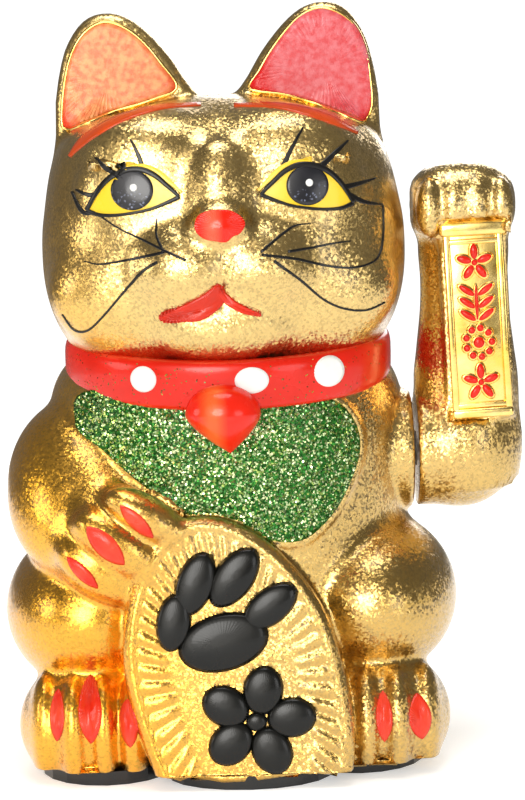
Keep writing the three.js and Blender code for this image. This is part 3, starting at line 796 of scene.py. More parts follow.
# ---------------------------------------------------------------- materials
def node(tree, kind, **values):
    """A new node. Each value is a setting of it, or else the value of an input."""
    made = tree.nodes.new(kind)
    for key, value in values.items():
        if key in made.bl_rna.properties:
            setattr(made, key, value)
        else:
            made.inputs[key.replace("_", " ").title()].default_value = value
    return made


def vector_math(tree, operation, first, second=None):
    """A sum on vectors. Each side is a socket or a constant."""
    made = node(tree, "ShaderNodeVectorMath", operation=operation)
    for socket, value in zip(made.inputs, (first, second)):
        if isinstance(value, bpy.types.NodeSocket):
            tree.links.new(value, socket)
        elif value is not None:
            socket.default_value = value
    return made


def times(tree, first, second):
    made = node(tree, "ShaderNodeMath", operation="MULTIPLY")
    tree.links.new(first, made.inputs[0])
    tree.links.new(second, made.inputs[1])
    return made.outputs[0]


def object_place(tree):
    return tree.nodes.new("ShaderNodeTexCoord").outputs["Object"]


def object_axes(tree):
    """X, Y and Z of the shaded point."""
    parts = tree.nodes.new("ShaderNodeSeparateXYZ")
    tree.links.new(object_place(tree), parts.inputs["Vector"])
    return parts.outputs


def feed(tree, shader, **sockets):
    """Links values to the shader. An input's name has _ for its space."""
    for key, value in sockets.items():
        tree.links.new(value, shader.inputs[key.replace("_", " ")])


def relief(tree, shader, height, strength, depth, normal=None):
    """Raises a finish by a height, at most depth millimetres."""
    bump = node(tree, "ShaderNodeBump", strength=strength, distance=depth * MM)
    tree.links.new(height, bump.inputs["Height"])
    if normal is not None:
        tree.links.new(normal, bump.inputs["Normal"])
    feed(tree, shader, Normal=bump.outputs["Normal"])


def group_of(name, inputs, outputs):
    tree = bpy.data.node_groups.new(name, "ShaderNodeTree")
    for label, default in inputs:
        socket = tree.interface.new_socket(label, in_out="INPUT", socket_type="NodeSocketFloat")
        socket.default_value = default
    for label, kind in outputs:
        tree.interface.new_socket(label, in_out="OUTPUT", socket_type=kind)
    return tree, tree.nodes.new("NodeGroupInput"), tree.nodes.new("NodeGroupOutput")


def facet_group():
    """Small flat facets, each turned its own way, as on a crinkled metallic film."""
    name = "crinkled_facets"
    if name in bpy.data.node_groups:
        return bpy.data.node_groups[name]
    tree, entry, exit_ = group_of(
        name, [("Density", 1000), ("Tilt", 0.5)],
        [("Normal", "NodeSocketVector"), ("Tone", "NodeSocketFloat")],
    )
    link = tree.links.new
    cells = node(tree, "ShaderNodeTexVoronoi", feature="F1")
    link(object_place(tree), cells.inputs["Vector"])
    link(entry.outputs["Density"], cells.inputs["Scale"])
    centred = vector_math(tree, "SUBTRACT", cells.outputs["Color"], (0.5, 0.5, 0.5))
    tilted = vector_math(tree, "SCALE", centred.outputs["Vector"])
    link(entry.outputs["Tilt"], tilted.inputs["Scale"])
    surface = tree.nodes.new("ShaderNodeNewGeometry")
    total = vector_math(tree, "ADD", surface.outputs["Normal"], tilted.outputs["Vector"])
    unit = vector_math(tree, "NORMALIZE", total.outputs["Vector"])
    link(unit.outputs["Vector"], exit_.inputs["Normal"])
    split = tree.nodes.new("ShaderNodeSeparateColor")
    link(cells.outputs["Color"], split.inputs["Color"])
    link(split.outputs["Red"], exit_.inputs["Tone"])
    return tree


def mottle_group():
    """Cloudy unevenness with a finer grain in it."""
    name = "mottle"
    if name in bpy.data.node_groups:
        return bpy.data.node_groups[name]
    tree, entry, exit_ = group_of(
        name, [("Coarse", 60), ("Fine", 900)],
        [("Cloud", "NodeSocketFloat"), ("Grain", "NodeSocketFloat")],
    )
    link = tree.links.new
    for label, out, detail in (("Coarse", "Cloud", 4), ("Fine", "Grain", 2)):
        noise = node(tree, "ShaderNodeTexNoise", detail=detail)
        link(object_place(tree), noise.inputs["Vector"])
        link(entry.outputs[label], noise.inputs["Scale"])
        link(noise.outputs["Fac"], exit_.inputs[out])
    return tree


def material(name, colour, roughness, metallic=0.0, coat=0.0, specular=0.5, coat_roughness=0.08):
    made = bpy.data.materials.new(name)
    made.use_nodes = True
    made.diffuse_color = (*colour, 1)
    shader = made.node_tree.nodes["Principled BSDF"]
    for label, value in {
        "Base Color": (*colour, 1), "Roughness": roughness, "Metallic": metallic,
        "Coat Weight": coat, "Coat Roughness": coat_roughness, "Specular IOR Level": specular,
    }.items():
        shader.inputs[label].default_value = value
    return made, made.node_tree, shader


def use_group(tree, group, **values):
    made = tree.nodes.new("ShaderNodeGroup")
    made.node_tree = group
    for key, value in values.items():
        made.inputs[key].default_value = value
    return made


def facets_of(tree, density, tilt):
    return use_group(tree, facet_group(), Density=density, Tilt=tilt)


def mottle_of(tree, coarse, fine):
    """Two noises: the large one, Cloud, and the small one, Grain."""
    return use_group(tree, mottle_group(), Coarse=coarse, Fine=fine).outputs


def spread(tree, value, low, high, out_low=0, out_high=1):
    """Maps a value from one range onto another, and clamps it."""
    made = node(
        tree, "ShaderNodeMapRange", From_Min=low, From_Max=high, To_Min=out_low, To_Max=out_high
    )
    tree.links.new(value, made.inputs["Value"])
    return made.outputs["Result"]


def mixed(tree, factor, first, second):
    """A colour between two, each a colour or a socket."""
    made = node(tree, "ShaderNodeMix", data_type="RGBA")
    for socket, value in ((made.inputs[6], first), (made.inputs[7], second)):
        if isinstance(value, bpy.types.NodeSocket):
            tree.links.new(value, socket)
        else:
            socket.default_value = (*value, 1)
    tree.links.new(factor, made.inputs[0])
    return made.outputs[2]


def shade(colour, factor):
    """A colour made darker, by one factor or by one for each of red, green and blue."""
    factors = factor if isinstance(factor, tuple) else (factor,) * 3
    return tuple(c * f for c, f in zip(colour, factors))


def uneven(finish, colour, dark, rough, bump, coarse=60, fine=900):
    """Gives a plain finish its clouds of tone, its patchy gloss and its fine grain."""
    made, tree, shader = finish
    cloud = mottle_of(tree, coarse, fine)
    tone = spread(tree, cloud["Cloud"], 0.3, 0.7)
    gloss = spread(tree, cloud["Cloud"], 0.3, 0.7, *rough)
    feed(tree, shader, Base_Color=mixed(tree, tone, dark, colour), Roughness=gloss)
    relief(tree, shader, cloud["Grain"], bump, 0.1)
    return made


def gold_skin():
    """Crinkled metallic film: warm on one side, pale on the other, which is partly the film's tint
    and partly painted warm light; deeper low down, which is painted shade.
    """
    colours = bpy.context.scene.cat_colours
    warm, pale = tuple(colours.warm_gold), tuple(colours.pale_gold)
    made, tree, shader = material(
        "gold_skin", warm, 0.36, metallic=1.0, coat=0.7, coat_roughness=0.22
    )
    axes = object_axes(tree)
    across = node(tree, "ShaderNodeMath", operation="MULTIPLY_ADD")
    across.inputs[1].default_value = 0.35
    tree.links.new(axes["Z"], across.inputs[0])
    tree.links.new(axes["X"], across.inputs[2])
    # side runs from the warm cat's right to the pale left: partly the film's own tint, partly
    # painted warm light from that side.
    side = spread(tree, across.outputs[0], -30 * MM, 32 * MM)
    # deep is painted shade: darker, more saturated gold for the lower body.
    deep = mixed(tree, side, shade(warm, (0.92, 0.86, 1)), shade(pale, (0.84, 0.76, 0.55)))
    # height fades the painted shade out between 60 and 170 mm up.
    height = spread(tree, axes["Z"], 60 * MM, 170 * MM)
    base = mixed(tree, height, deep, mixed(tree, side, warm, pale))
    darker = mixed(tree, side, shade(warm, 0.58), shade(pale, 0.58))
    facets = facets_of(tree, 1350, 0.5)
    cloud = mottle_of(tree, 22, 1700)
    patchy = spread(tree, cloud["Cloud"], 0.35, 0.65, 0.55, 1.35)
    strength = spread(tree, axes["X"], -50 * MM, 50 * MM, 0.22, 0.40)
    tree.links.new(times(tree, patchy, strength), facets.inputs["Tilt"])
    tone = spread(tree, facets.outputs["Tone"], 0.0, 0.6, 0.3, 1)
    gloss = spread(tree, cloud["Cloud"], 0.3, 0.7, 0.22, 0.32)
    feed(tree, shader, Base_Color=mixed(tree, tone, darker, base), Roughness=gloss)
    relief(tree, shader, cloud["Grain"], 0.4, 0.15, facets.outputs["Normal"])
    return made


# ---------------------------------------------------------------- paint films and raised marks
def resample(loop, count):
    """The same outline with its points spaced evenly."""
    closed = np.vstack([loop, loop[:1]])
    length = np.concatenate([[0], np.cumsum(np.linalg.norm(np.diff(closed, axis=0), axis=1))])
    at = np.linspace(0, length[-1], count, endpoint=False)
    return np.stack([np.interp(at, length, closed[:, i]) for i in (0, 1)], 1)


IN_FRONT = -150


def float_sheet(obj, flat):
    """Places a sheet's points, given in X and Z, well in front of the figure."""
    place_points(obj, np.stack([flat[:, 0], np.full(len(flat), IN_FRONT), flat[:, 1]], 1))


def lay_on(obj, target, lift):
    """Drops a floating sheet onto the target. Points that miss it take their neighbour's depth."""
    apply_modifier(
        obj, "SHRINKWRAP", target=target, wrap_method="PROJECT", wrap_mode="ABOVE_SURFACE",
        use_project_y=True, use_positive_direction=True, use_negative_direction=False,
        offset=lift * MM,
    )
    p = points_of(obj)
    missed = p[:, 1] < IN_FRONT + 1
    if missed.all():
        raise RuntimeError(f"{obj.name} lies beside {target.name}")
    for i in np.flatnonzero(missed):
        gap = np.hypot(p[~missed, 0] - p[i, 0], p[~missed, 2] - p[i, 2])
        p[i, 1] = p[~missed, 1][gap.argmin()]
    place_points(obj, p)


def thicken(obj, depth):
    apply_modifier(obj, "SOLIDIFY", thickness=depth * MM, offset=-1, use_rim=True)


def raise_middle(obj, dome, off_centre):
    """Domes a sheet. off_centre runs from 0 along its middle to 1 at its edge."""
    p = points_of(obj)
    p[:, 1] -= dome * np.sqrt(np.maximum(1 - off_centre**2, 0))
    place_points(obj, p)


def remove_points(obj, mask):
    edit(obj, lambda: bpy.ops.mesh.select_mode(type="VERT"), select_none)
    obj.data.vertices.foreach_set("select", mask)
    edit(obj, lambda: bpy.ops.mesh.delete(type="VERT"))


def bridge(obj, repeat):
    """Evens out how far forward a sheet lies, so that it bridges small creases."""
    apply_modifier(obj, "SMOOTH", factor=0.5, iterations=repeat, use_x=False, use_z=False)


def film(loop, target, lift=0.2, dome=0.0, count=48, cuts=5, centre=None, sunk=0.3, even=4,
         drop=None):
    """A patch of paint inside an outline given in X and Z.

    The target is an object, or a function of X, Z and lift. dome raises the patch's middle, sunk
    sinks its underside, even bridges creases, and drop picks points to leave out.
    """
    outline = resample(anticlockwise(smooth_curve(loop, True, 6)), count)
    middle = outline.mean(0) if centre is None else np.array(centre, float)
    obj, _ = new_shape("circle", vertices=count, radius=1, fill_type="TRIFAN")
    edit(obj, select_all, lambda: bpy.ops.mesh.subdivide(number_cuts=cuts))
    disc = points_of(obj) * MM
    place = (np.arctan2(disc[:, 1], disc[:, 0]) / (2 * np.pi) * count) % count
    first = np.floor(place + 1e-6).astype(int)
    part = np.clip(place - first, 0, 1)[:, None]
    wedge = np.pi / count
    chord = math.cos(wedge) / np.cos((2 * part[:, 0] - 1) * wedge)
    share = np.minimum(np.hypot(disc[:, 0], disc[:, 1]) / chord, 1)
    edge = outline[first % count] * (1 - part) + outline[(first + 1) % count] * part
    float_sheet(obj, middle + (edge - middle) * share[:, None])
    if callable(target):
        p = points_of(obj)
        p[:, 1] = target(p[:, 0], p[:, 2], lift)
        place_points(obj, p)
    else:
        lay_on(obj, target, lift)
    if drop:
        remove_points(obj, drop(points_of(obj)))
    bridge(obj, even)
    if dome:
        raise_middle(obj, dome, share)
    thicken(obj, lift + sunk + dome)
    return obj


def stroke(line, widths, target, lift=0.2, dome=0.0, closed=False, sunk=0.3):
    """A brush stroke or bead along a line given in X and Z; widths run from start to end."""
    path = smooth_curve(line, closed, 8)
    if closed:
        path = np.vstack([path, path[:1]])
    steps = len(path) - 1
    obj, grid = new_shape("grid", x_subdivisions=steps, y_subdivisions=4, size=2)
    t = (grid[:, 0] + 1) / 2
    i = np.clip(np.round(t * steps).astype(int), 0, steps)
    along = np.gradient(path, axis=0)
    if closed:
        along[0] = along[-1] = path[1] - path[-2]
    along /= np.maximum(np.linalg.norm(along, axis=1, keepdims=True), 1e-9)
    left = np.stack([-along[:, 1], along[:, 0]], 1)
    width = np.interp(t, np.linspace(0, 1, len(widths)), widths)
    float_sheet(obj, path[i] + left[i] * (grid[:, 1] * width / 2)[:, None])
    lay_on(obj, target, lift)
    bridge(obj, 3)
    if dome:
        raise_middle(obj, dome, grid[:, 1])
    if closed:
        edit(obj, select_all, lambda: bpy.ops.mesh.remove_doubles(threshold=0.02 * MM))
    thicken(obj, lift + sunk + dome)
    return obj


def laid_out(x, z, along, across, angle):
    """An outline about a centre, its long axis turned from +X by an angle in degrees."""
    c, s = math.cos(math.radians(angle)), math.sin(math.radians(angle))
    return np.stack([x + along * c - across * s, z + along * s + across * c], 1)


def almond(x, z, length, width, angle, blunt=0.0):
    """A leaf-shaped outline, rounder as blunt nears 1."""
    t = np.linspace(0, 2 * np.pi, 24, endpoint=False)
    across = np.sin(t) * np.abs(np.sin(t)) ** (0.6 * (1 - blunt)) * width / 2
    return laid_out(x, z, np.cos(t) * length / 2, across, angle)


def oval(x, z, rx, rz, angle=0):
    t = np.linspace(0, 2 * np.pi, 24, endpoint=False)
    return laid_out(x, z, np.cos(t) * rx, np.sin(t) * rz, angle)


def round_places(count, start, rx, rz):
    """Places evenly spaced round an oval, each with its angle in degrees."""
    angles = [math.radians(start + 360 / count * i) for i in range(count)]
    return [(rx * math.cos(a), rz * math.sin(a), math.degrees(a)) for a in angles]


def mirror(points, side):
    return [(x * side, z) for x, z in points]


def on_leaning_face(points):
    """Whisker lines as they sit on the face, which leans a little."""
    return [(x, z - 0.03 * x if x < 0 else z + 0.6 - 0.01 * x) for x, z in points]


# ---------------------------------------------------------------- finishes
def paint(name, colour, dark=0.75, rough=(0.16, 0.3), coat=0.15, bump=0.12):
    """Brushed-on enamel, a little uneven in tone and gloss."""
    finish = material(name, colour, 0.25, coat=coat, specular=0.25)
    return uneven(finish, colour, shade(colour, dark), rough, bump, 55, 700)


def ear_paint(name, outer, inner, centre):
    """Enamel that is deep at its edge and cloudy and paler in the middle of the ear."""
    made, tree, shader = material(name, outer, 0.32, coat=0.1, specular=0.25)
    wide, tall = 42, 36
    place = node(tree, "ShaderNodeMapping", scale=(wide, 0, tall))
    shift = (-centre[0] * MM * wide, 0, -centre[1] * MM * tall)
    place.inputs["Location"].default_value = shift
    tree.links.new(object_place(tree), place.inputs["Vector"])
    ring = node(tree, "ShaderNodeTexGradient", gradient_type="SPHERICAL")
    tree.links.new(place.outputs["Vector"], ring.inputs["Vector"])
    cloud = mottle_of(tree, 420, 1400)
    middle = spread(tree, ring.outputs["Fac"], 0.04, 0.26)
    amount = times(tree, middle, spread(tree, cloud["Cloud"], 0.36, 0.64, 0.4, 1))
    gloss = spread(tree, cloud["Grain"], 0.3, 0.7, 0.22, 0.42)
    feed(tree, shader, Base_Color=mixed(tree, amount, outer, inner), Roughness=gloss)
    relief(tree, shader, cloud["Grain"], 0.5, 0.2)
    return made


def banded(name, ground, stripe, at, wide, rough=0.2):
    """Enamel with a soft stripe of another colour where X is near a place. On the bell and the nose
    the stripe is a painted highlight.
    """
    made, tree, shader = material(name, ground, rough, coat=0.3, specular=0.25)
    away = node(tree, "ShaderNodeMath", operation="SUBTRACT")
    away.inputs[1].default_value = at * MM
    tree.links.new(object_axes(tree)["X"], away.inputs[0])
    size = node(tree, "ShaderNodeMath", operation="ABSOLUTE")
    tree.links.new(away.outputs[0], size.inputs[0])
    amount = spread(tree, size.outputs[0], wide * MM, 0.2 * wide * MM)
    cloud = mottle_of(tree, 90, 700)["Cloud"]
    gloss = spread(tree, cloud, 0.3, 0.7, rough * 0.7, rough * 1.4)
    feed(tree, shader, Base_Color=mixed(tree, amount, ground, stripe), Roughness=gloss)
    return made


def glitter(name, ground, pale, density, share):
    """Flakes set in lacquer: each cell has its own tilt, and a share of them is pale."""
    made, tree, shader = material(name, ground, 0.3, metallic=0.75, coat=0.1)
    facets = facets_of(tree, density, 1.3).outputs
    amount = spread(tree, facets["Tone"], 1 - share - 0.12, 1 - share + 0.12)
    grain = mottle_of(tree, 40, 900)["Grain"]
    deep = mixed(tree, grain, shade(ground, 0.35), shade(ground, 1.6))
    feed(
        tree, shader, Base_Color=mixed(tree, amount, deep, pale), Normal=facets["Normal"],
        Roughness=spread(tree, facets["Tone"], 0, 1, 0.45, 0.18),
    )
    return made


def flake_metal(name, first, second):
    """Loose flakes, each with a tone of its own."""
    made, tree, shader = material(name, first, 0.2, metallic=0.85)
    tone = facets_of(tree, 700, 0.1).outputs["Tone"]
    feed(tree, shader, Base_Color=mixed(tree, tone, first, second))
    return made


def iris_black():
    """Black enamel that fades to slate at the lower edge, with blue-white specks."""
    made, tree, shader = material(
        "iris_black", (0.012, 0.012, 0.014), 0.18, coat=0.25, specular=0.3
    )
    cloud = mottle_of(tree, 140, 1200)["Cloud"]
    low = spread(tree, object_axes(tree)["Z"], 215 * MM, 205 * MM)
    speck = spread(tree, facets_of(tree, 1700, 0.2).outputs["Tone"], 0.90, 0.95)
    slate = mixed(tree, cloud, (0.010, 0.010, 0.012), (0.03, 0.03, 0.036))
    colour = mixed(tree, times(tree, low, speck), slate, (0.30, 0.33, 0.46))
    feed(tree, shader, Base_Color=colour)
    return made


def claw_enamel(name, red):
    """Thin red enamel that lets pale streaks through."""
    finish = material(name, red, 0.25, coat=0.2, specular=0.25)
    return uneven(finish, (0.80, 0.07, 0.03), shade(red, 0.9), (0.15, 0.3), 0.2, 110, 800)


def metal(name, colour, rough, stretch=(1, 1, 30), density=120):
    """Drawn or turned metal with fine lines along it."""
    made, tree, shader = material(name, colour, rough, metallic=1.0)
    place = node(tree, "ShaderNodeMapping", scale=stretch)
    tree.links.new(object_place(tree), place.inputs["Vector"])
    lines = node(tree, "ShaderNodeTexNoise", scale=density, detail=3)
    tree.links.new(place.outputs["Vector"], lines.inputs["Vector"])
    tone = spread(tree, lines.outputs["Fac"], 0.3, 0.7)
    gloss = spread(tree, lines.outputs["Fac"], 0.3, 0.7, rough * 0.7, rough * 1.3)
    feed(tree, shader, Base_Color=mixed(tree, tone, shade(colour, 0.75), colour), Roughness=gloss)
    relief(tree, shader, lines.outputs["Fac"], 0.25, 0.05)
    return made


def polished_gold():
    """Bright smooth gold, for the plaque and the rims of the ears."""
    finish = material("polished_gold", (1.0, 0.74, 0.26), 0.16, metallic=1.0)
    return uneven(finish, (1.0, 0.76, 0.30), (0.92, 0.60, 0.12), (0.10, 0.24), 0.35, 120, 500)


def plastic(name, colour, rough=(0.35, 0.5), bump=0.25):
    return uneven(material(name, colour, 0.4), colour, shade(colour, 0.8), rough, bump, 40, 2200)


def finish_named(name):
    return bpy.data.materials[name]


# ---------------------------------------------------------------- collar, bell and bib
COLLAR = {
    "rx": 61.2, "depth": 0.935, "at": (1.3, -1.2, 149.6), "half": 9, "thick": 8.5, "tilt": 6.2,
}
# Each spot: X, Z and half its width and height.
SPOTS = [(-29.2, 146.4, 4.7, 4.7), (9.3, 145.6, 6.1, 4.7), (37.2, 147, 5.6, 5.6)]
BELL = {"at": (-1.2, -56.5, 133.6), "wide": 13.5, "deep": 11, "up": 11, "down": 14, "lean": 2.2}


def skin():
    return bpy.data.objects["skin_front"]


class CAT_OT_collar(bpy.types.Operator):
    """Adds the red collar with its white spots, and the bell"""

    bl_idname = "beckoning_cat.collar"
    bl_label = "Collar and bell"

    def execute(self, context):
        red = tuple(context.scene.cat_colours.red)
        clear_selection()
        size = COLLAR
        band, p = new_shape(
            "torus", major_segments=144, minor_segments=28, major_radius=1, minor_radius=0.1
        )
        turn = np.arctan2(p[:, 1], p[:, 0])
        section = np.arctan2(p[:, 2], np.hypot(p[:, 0], p[:, 1]) - 1)
        out, up = np.cos(section), np.sin(section)
        bulge = np.abs(out) ** 0.6 * np.sign(out) * size["thick"] / 2
        rise = np.abs(up) ** 0.55 * np.sign(up) * size["half"]
        radius = size["rx"] - size["thick"] / 2 + bulge
        ring = np.stack([radius * np.cos(turn), radius * np.sin(turn) * size["depth"], rise], 1)
        tilt = np.array(Matrix.Rotation(math.radians(size["tilt"]), 3, "X"))
        place_points(band, ring @ tilt.T + np.array(size["at"]))
        enamel = paint("collar_red", red, dark=0.8, rough=(0.2, 0.32), coat=0.25)
        finish_piece(band, "collar", enamel)
        spots = [film(oval(*spot), band, 0.25, dome=0.35, count=32, cuts=3) for spot in SPOTS]
        white = paint("spot_white", (0.9, 0.9, 0.86), dark=0.85)
        finish_piece(spots, "collar_spots", white)
        self.bell(red)
        return {"FINISHED"}

    def bell(self, red):
        """A ball drawn out to a point below."""
        size = BELL
        obj = add_ball((0, 0, 0), (1, 1, 1), segments=56, rings=40)
        p = points_of(obj)
        up = p[:, 2]
        point = np.clip(-up, 0, 1)
        pinch = (1 - point**1.5) / np.sqrt(np.maximum(1 - point**2, 1e-6))
        pinch = np.where(up > -0.999, np.minimum(pinch, 1), 0)
        p[:, 0] = p[:, 0] * size["wide"] * pinch + size["lean"] * point**1.5
        p[:, 1] = p[:, 1] * size["deep"] * pinch
        p[:, 2] = np.where(up > 0, up * size["up"], up * size["down"])
        place_points(obj, p + np.array(size["at"]))
        # The orange stripe near X = -5 is a painted highlight.
        enamel = banded("bell_red", red, (0.85, 0.11, 0.02), -5, 5.5, rough=0.24)
        finish_piece(obj, "bell", enamel)


def scatter(name, loop, target, count, size, finish, seed):
    """Drops flat six-sided flakes inside an outline, each leaning its own way."""
    margin, lean_spread, full_turn = 0.4, 0.315, 6.28
    rng = np.random.default_rng(seed)
    tree = BVHTree.FromObject(target, bpy.context.evaluated_depsgraph_get())
    flake, shape = new_shape("cylinder", vertices=6, radius=1, depth=0.12)
    faces = [list(f.vertices) for f in flake.data.polygons]
    outline = smooth_curve(loop, True, 4)
    low, high = outline.min(0), outline.max(0)
    spots = low + rng.random((count * 3, 2)) * (high - low)
    spots = spots[loop_distance(spots, outline) < -margin][:count]
    points, polygons = [], []
    for x, z in spots:
        lean = rng.normal(0, lean_spread, 3)
        grow = size * rng.uniform(0.6, 1.25)
        spin = rng.uniform(0, full_turn)
        hit, normal, _, _ = tree.ray_cast(Vector((x, IN_FRONT, z)) * MM, Vector((0, 1, 0)))
        if hit is None or hit.y > -0.02:
            continue
        up = (normal + Vector(lean)).normalized()
        turn = up.to_track_quat("Z", "Y").to_matrix() @ Matrix.Rotation(spin, 3, "Z")
        start = len(points) * len(shape)
        points.append(shape @ np.array(turn).T * grow + np.array(hit + normal * 0.1 * MM) / MM)
        polygons += [[start + v for v in face] for face in faces]
    bpy.data.objects.remove(flake)
    mesh = bpy.data.meshes.new(name)
    mesh.from_pydata((np.concatenate(points) * MM).tolist(), [], polygons)
    obj = bpy.data.objects.new(name, mesh)
    bpy.context.scene.collection.objects.link(obj)
    return finish_piece(obj, name, finish, smooth=False)


COLLAR_STRIP = [
    (-56, 143), (-30, 136), (0, 134), (30, 136), (56, 143), (56, 156), (30, 152), (0, 150),
    (-30, 152), (-56, 156),
]


def off_chest(p):
    """True for points that lie well in front of the chest: on the arm or the coin."""
    t = TORSO
    chest = t["at"][1] - t["depth"] * np.sqrt(np.maximum(t["radius"] ** 2 - p[:, 0] ** 2, 1))
    return p[:, 1] < chest - 4.2


class CAT_OT_bib(bpy.types.Operator):
    """Covers the bib in green glitter"""

    bl_idname = "beckoning_cat.bib"
    bl_label = "Glitter bib"

    def execute(self, context):
        green = tuple(context.scene.cat_colours.green)
        clear_selection()
        lacquer = glitter("green_glitter", green, (0.52, 0.68, 0.16), 1500, 0.17)
        coat = film(BIB, skin(), 0.3, count=96, cuts=20, centre=(0, 116), even=2, drop=off_chest)
        finish_piece(coat, "bib", lacquer)
        flakes = flake_metal("glitter_flakes", (0.80, 0.88, 0.48), (0.02, 0.20, 0.03))
        scatter("bib_flakes", BIB, coat, context.scene.cat_sizes.flakes, 0.4, flakes, seed=7)
        dark = flake_metal("dark_flakes", (0.02, 0.10, 0.04), (0.35, 0.30, 0.05))
        band = bpy.data.objects["collar"]
        scatter("collar_flakes", COLLAR_STRIP, band, 260, 0.26, dark, seed=11)
        return {"FINISHED"}


# ---------------------------------------------------------------- face
LEFT_EAR = [
    (-56.6, 236), (-57, 245), (-55, 257), (-52, 265.2), (-47.4, 271.2), (-41.2, 274.2),
    (-34.2, 272.6), (-26.8, 267), (-20.4, 259), (-14.8, 249.8), (-23.8, 245.6), (-39.7, 241.2),
    (-48, 238),
]
RIGHT_EAR = [
    (12.4, 248.6), (15.8, 255.4), (20.2, 262.4), (26.4, 270.2), (32.2, 275.3), (39.2, 277.4),
    (46.4, 275), (52, 269.6), (55.4, 261), (56.8, 250), (57, 241.6), (54.6, 236), (51.6, 235.8),
    (39, 241.4), (26, 245.8),
]
# Each band under an ear, with its widths from the middle of the brow outwards.
BANDS = [
    ([(-6, 243.4), (-20, 242.8), (-33, 239.6), (-43, 235), (-49.5, 230.6), (-54, 226)],
     (1.2, 2, 3, 3.6, 3, 1)),
    ([(6, 242.8), (20, 242.2), (31, 239.8), (41, 236.2), (50.5, 231.6)], (1.2, 2, 3, 3, 1)),
]
UPPER_LID = [
    (14.2, 211), (18.6, 215), (23, 218.8), (28, 220.9), (33.4, 220.6), (38.6, 218), (43, 213.4),
    (46.9, 207),
]
LOWER_LID = [
    (14.2, 211), (19, 209), (24.7, 207), (31, 205.8), (37, 205.2), (42.4, 205.4), (46.9, 207),
]
IRIS = (30.8, 213.7)
NOSE = [
    (-8.9, 201.1), (-7.6, 204.4), (-3, 206.2), (2.6, 206), (6.5, 204), (8.2, 201.2), (6.4, 198.2),
    (4, 197.3), (1.6, 195.4), (-2.4, 195.9), (-5.5, 196.5), (-8.2, 198.6),
]
LEFT_LIP = [
    (-1.8, 180.6), (-6.3, 177.6), (-13, 174), (-18, 171.2), (-22.6, 168.6), (-14.8, 167.4),
    (-8.2, 167.6), (-3, 170.4), (0.6, 174.2), (1.2, 177.6),
]
RIGHT_LIP = [
    (-1.6, 180.2), (2, 176.4), (6, 173.2), (13.4, 168.9), (8.4, 169.2), (4.3, 170.9),
    (0.3, 173.6), (-2.6, 177),
]
LASHES = [
    [(-26.8, 220.4), (-28.3, 225.8), (-31, 231.7)], [(-36, 219), (-39.8, 221.7), (-43.8, 225.5)],
    [(-42, 212.2), (-47, 212.5), (-51.3, 214.2)], [(-43.5, 206.8), (-49, 206.4), (-53, 213.5)],
    [(21.2, 217.6), (25.2, 226), (30, 234)], [(36, 220.2), (41.9, 225.4), (46.2, 229)],
    [(43, 212.4), (50, 213.7), (56, 215)], [(44.5, 210.5), (51.4, 207), (58.4, 205.6)],
]
WHISKERS = [
    [(-12.6, 188.7), (-19, 191.5), (-28, 195.6), (-36, 199.3), (-43, 203.8)],
    [(-20, 191.5), (-28, 189.5), (-37.6, 187.4), (-44, 186.5), (-49, 187.4)],
    [(-22.7, 188), (-27.8, 184.7), (-34.7, 177.3), (-43.4, 167.4), (-49, 162.4), (-54, 162.4),
     (-58, 168)],
    [(-20.8, 192.4), (-22.8, 197.3), (-22.6, 203)],
    [(13.7, 190.7), (20, 195.6), (26, 199.3), (31.8, 200)],
    [(23.2, 190.6), (31.6, 191.5), (40, 192.8), (46, 193.3)],
    [(14, 189.8), (25.7, 188), (35.6, 185.3), (44.8, 183.9), (52.3, 184.9), (56.6, 188),
     (58.5, 195.5), (58.7, 205.4)],
    [(18.2, 187.6), (27.2, 180.6), (35.4, 173.2), (42.8, 169.5), (51, 168.4), (58.2, 170.7)],
]


class CAT_OT_ears(bpy.types.Operator):
    """Paints the insides of the ears and the bands under them"""

    bl_idname = "beckoning_cat.ears"
    bl_label = "Ears"

    def execute(self, context):
        clear_selection()
        on = skin()
        for name, loop, middle, paler, outer, inner in (
            ("left", LEFT_EAR, (-40, 255), (-37, 253), (0.72, 0.05, 0.012), (0.84, 0.38, 0.15)),
            ("right", RIGHT_EAR, (40, 256), (40, 256), (0.62, 0.008, 0.010), (0.72, 0.17, 0.19)),
        ):
            panel = film(loop, on, 0.35, count=64, cuts=8, centre=middle, even=20)
            finish = ear_paint(f"ear_paint_{name}", outer, inner, paler)
            finish_piece(panel, f"ear_panel_{name}", finish)
        rims = [
            stroke(loop, (1.1, 1.1), on, 0.3, dome=0.55, closed=True)
            for loop in (LEFT_EAR, RIGHT_EAR)
        ]
        finish_piece(rims, "ear_rims", finish_named("polished_gold"))
        bands = [stroke(line, widths, on, 0.3, dome=0.3) for line, widths in BANDS]
        orange = paint("band_orange", (0.66, 0.07, 0.008), dark=0.6)
        finish_piece(bands, "brow_bands", orange)
        return {"FINISHED"}


